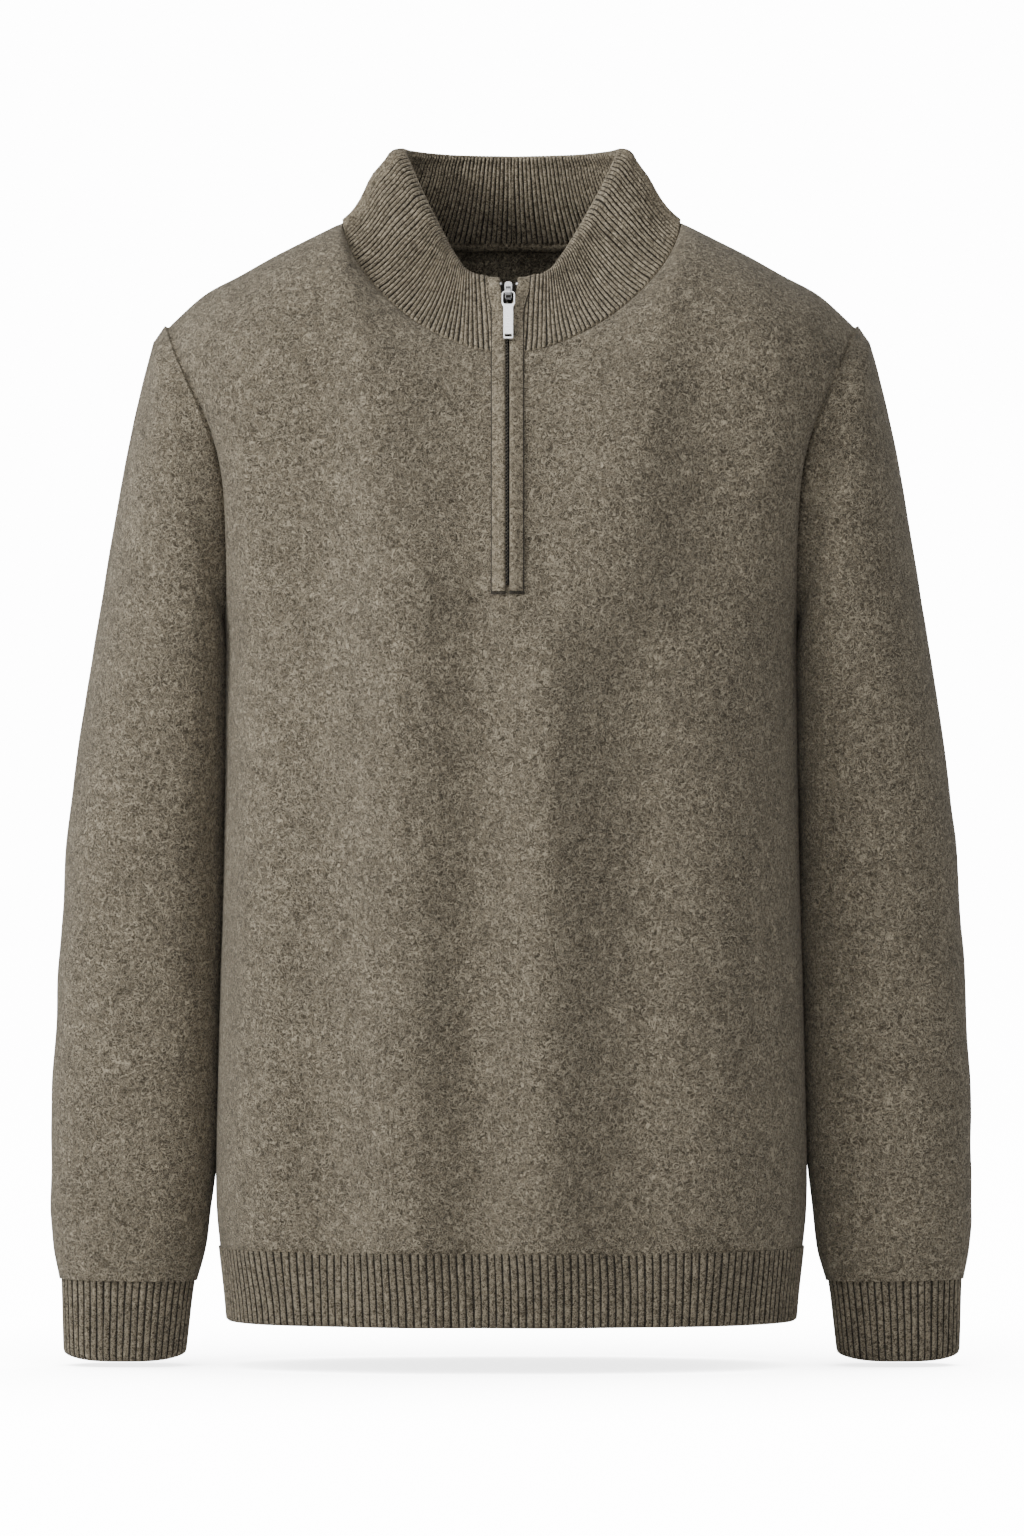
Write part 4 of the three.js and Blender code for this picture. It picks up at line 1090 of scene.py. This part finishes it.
def metal_material(name, gain=1.0, metallic=0.65):
    n = Nodes(name)
    brushed = n.noise(2600, 2, 0.5, 0, n.stretched((0.12, 1, 1)))
    tone = n.mix(n.ramp(brushed, 0.3, 0.7), color((0.9, 0.9, 0.9), gain), color((0.98, 0.98, 0.97), gain))
    rough = n.ramp(brushed, 0.3, 0.7, 0.26, 0.36)
    n.feed(n.shader, {"Base Color": tone, "Roughness": rough, "Metallic": metallic})
    n.feed(n.shader, {"Normal": n.bump(brushed, 0.1, 0.0001)})
    return n.material


# White sweep, lit on its own so that it comes out white, with soft contact shadows
def floor_material(name):
    n = Nodes(name)
    soft = n.noise(3, 2)
    contact = n.feed(n.add("ShaderNodeAmbientOcclusion", samples=8), {"Distance": 0.45})
    seen = n.add("ShaderNodeLightPath").outputs["Is Camera Ray"]
    glow = n.ramp(contact.outputs["AO"], 0.25, 0.97, 3.5, BACKDROP)
    n.feed(n.shader, {
        "Base Color": n.mix(n.ramp(soft, 0.3, 0.7), color((0.93, 0.93, 0.93)), color((0.95, 0.95, 0.95))),
        "Roughness": 0.9,
        "Emission Strength": n.math("MULTIPLY", glow, seen),
        "Emission Color": (1, 1, 1, 1),
    })
    return n.material


# Gives a piece its material or two and its body, and hides the CAD node that it stands for
def finish_piece(piece, material, slot, body, *nodes):
    for one in material if isinstance(material, tuple) else (material,):
        piece.data.materials.append(one)
    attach(piece, body)
    if nodes:
        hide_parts(*nodes)
    return piece


def build_cloth():
    knit = wool("wool knit", 0.93)
    edging = wool("wool edging", 1.2, 0.5, FINE_NAP)
    # Dark copy of the wool: painted shade in the ribs' grooves and along the strips' outer edges
    groove = wool("wool rib groove painted shade", 0.22, 0.1, FINE_NAP)
    rib = (wool("wool rib", 1.0, 0.5, FINE_NAP), groove)
    # Lighter copy of the rib wool for the collar: painted light on its ridges
    lit_collar_rib = (wool("wool collar rib painted light", 1.42, 0.5, FINE_NAP), groove)
    front = finish_piece(panel_piece("front_cloth", -1), knit, "knit", "garment", "front")
    back = finish_piece(panel_piece("back_cloth", 1), knit, "knit", "garment", "back")
    for label, side in (("left", -1), ("right", 1)):
        sleeve = finish_piece(sleeve_piece(f"sleeve_cloth_{label}", side), knit, "knit", "garment",
                              f"sleeve_{label}")
        cuff = finish_piece(cuff_piece(f"cuff_knit_{label}", side), rib, "rib", "garment", f"cuff_{label}")
        strip = finish_piece(strip_piece(f"strip_cloth_{label}", side), (edging, groove), "knit", "garment",
                             f"placket_strip_{label}")
    collar = finish_piece(collar_piece("collar_knit"), lit_collar_rib, "rib", "garment", "collar")
    tape = finish_piece(neck_tape_piece("neck_tape_knit"), edging, "rib", "garment", "neck_seam_tape")
    for label, facing, panel in (("front", -1, front), ("back", 1, back)):
        hem = finish_piece(hem_piece(f"hem_knit_{label}", facing), rib, "rib", "garment", f"hem_rib_{label}")


def build_zip():
    tape = tape_material("zip tape weave")
    metal = metal_material("polished nickel")
    for label, side in (("left", -1), ("right", 1)):
        finish_piece(tape_piece(f"tape_{label}", side), tape, "zip_tape", "garment", f"zip_tape_{label}")
    finish_piece(teeth_piece("teeth"), teeth_material("zip teeth"), "zip_teeth", "garment", "zip_chain")
    plate, bridge = slider_pieces("slider")
    # Darker copy of the nickel for the slider and its bridge: painted shade, so that the pull's loop stands
    # out against them
    shaded = metal_material("nickel darkened as painted shade", 0.5, 1)
    finish_piece(plate, shaded, "zip_metal", "garment", "zip_slider")
    finish_piece(bridge, shaded, "zip_metal", "garment")
    finish_piece(stops_piece("top_stops"), metal, "zip_metal", "garment")
    finish_piece(pull_piece("pull"), metal, "zip_metal", "pull", "pull_tab")


def build_floor():
    half, floor_z = 14, -0.7235
    corners = [(x * half, y * half, floor_z) for x, y in ((-1, -1), (1, -1), (1, 1), (-1, 1))]
    mesh = bpy.data.meshes.new("floor")
    mesh.from_pydata(corners, [], [(0, 1, 2, 3)])
    mesh.materials.append(floor_material("pale floor"))
    floor = add_object("floor", mesh)


# A square light of a size in metres and a power in watts, turned to the sweater's middle
def add_light(name, place, size, power):
    light = bpy.data.lights.new(name, "AREA")
    light.size = size
    light.energy = power
    lamp = add_object(name, light)
    lamp.location = place
    lamp.rotation_euler = (Vector((0, 0, -0.3)) - Vector(place)).to_track_quat("-Z", "Y").to_euler()


# Four lights, and a pale world that the camera itself sees as a white sweep
def build_light():
    world = bpy.data.worlds.new("studio")
    bpy.context.scene.world = world
    world.use_nodes = True
    tree = world.node_tree
    studio = tree.nodes["Background"]
    studio.inputs["Color"].default_value = (1, 1, 1, 1)
    studio.inputs["Strength"].default_value = 0.26
    sweep = tree.nodes.new("ShaderNodeBackground")
    sweep.inputs["Color"].default_value = (1, 1, 1, 1)
    sweep.inputs["Strength"].default_value = BACKDROP
    mix = tree.nodes.new("ShaderNodeMixShader")
    seen = tree.nodes.new("ShaderNodeLightPath")
    tree.links.new(seen.outputs["Is Camera Ray"], mix.inputs[0])
    tree.links.new(studio.outputs[0], mix.inputs[1])
    tree.links.new(sweep.outputs[0], mix.inputs[2])
    tree.links.new(mix.outputs[0], tree.nodes["World Output"].inputs["Surface"])
    add_light("key", (-2.05, -1.3, 0.95), 0.8, 50)
    add_light("front", (0.3, -3.4, 0.8), 2.0, 7)
    add_light("top", (-0.45, -1.7, 2.5), 1.5, 27)
    add_light("behind", (0.9, 3.2, 1.4), 2.0, 34)


# Camera level with the middle of the picture; one photo pixel is 0.633 mm at the sweater's middle
def build_camera():
    distance = 6.0
    picture_height = 1536 * 0.633 * MM
    camera = bpy.data.cameras.new("camera")
    camera.sensor_fit = "VERTICAL"
    camera.sensor_height = 24
    camera.lens = 24 * distance / picture_height
    view = add_object("camera", camera)
    view.location = (0.0003, -distance, -0.3456)
    view.rotation_euler = (math.pi / 2, 0, 0)
    bpy.context.scene.camera = view


build_camera()
build_light()
build_floor()
build_cloth()
build_zip()
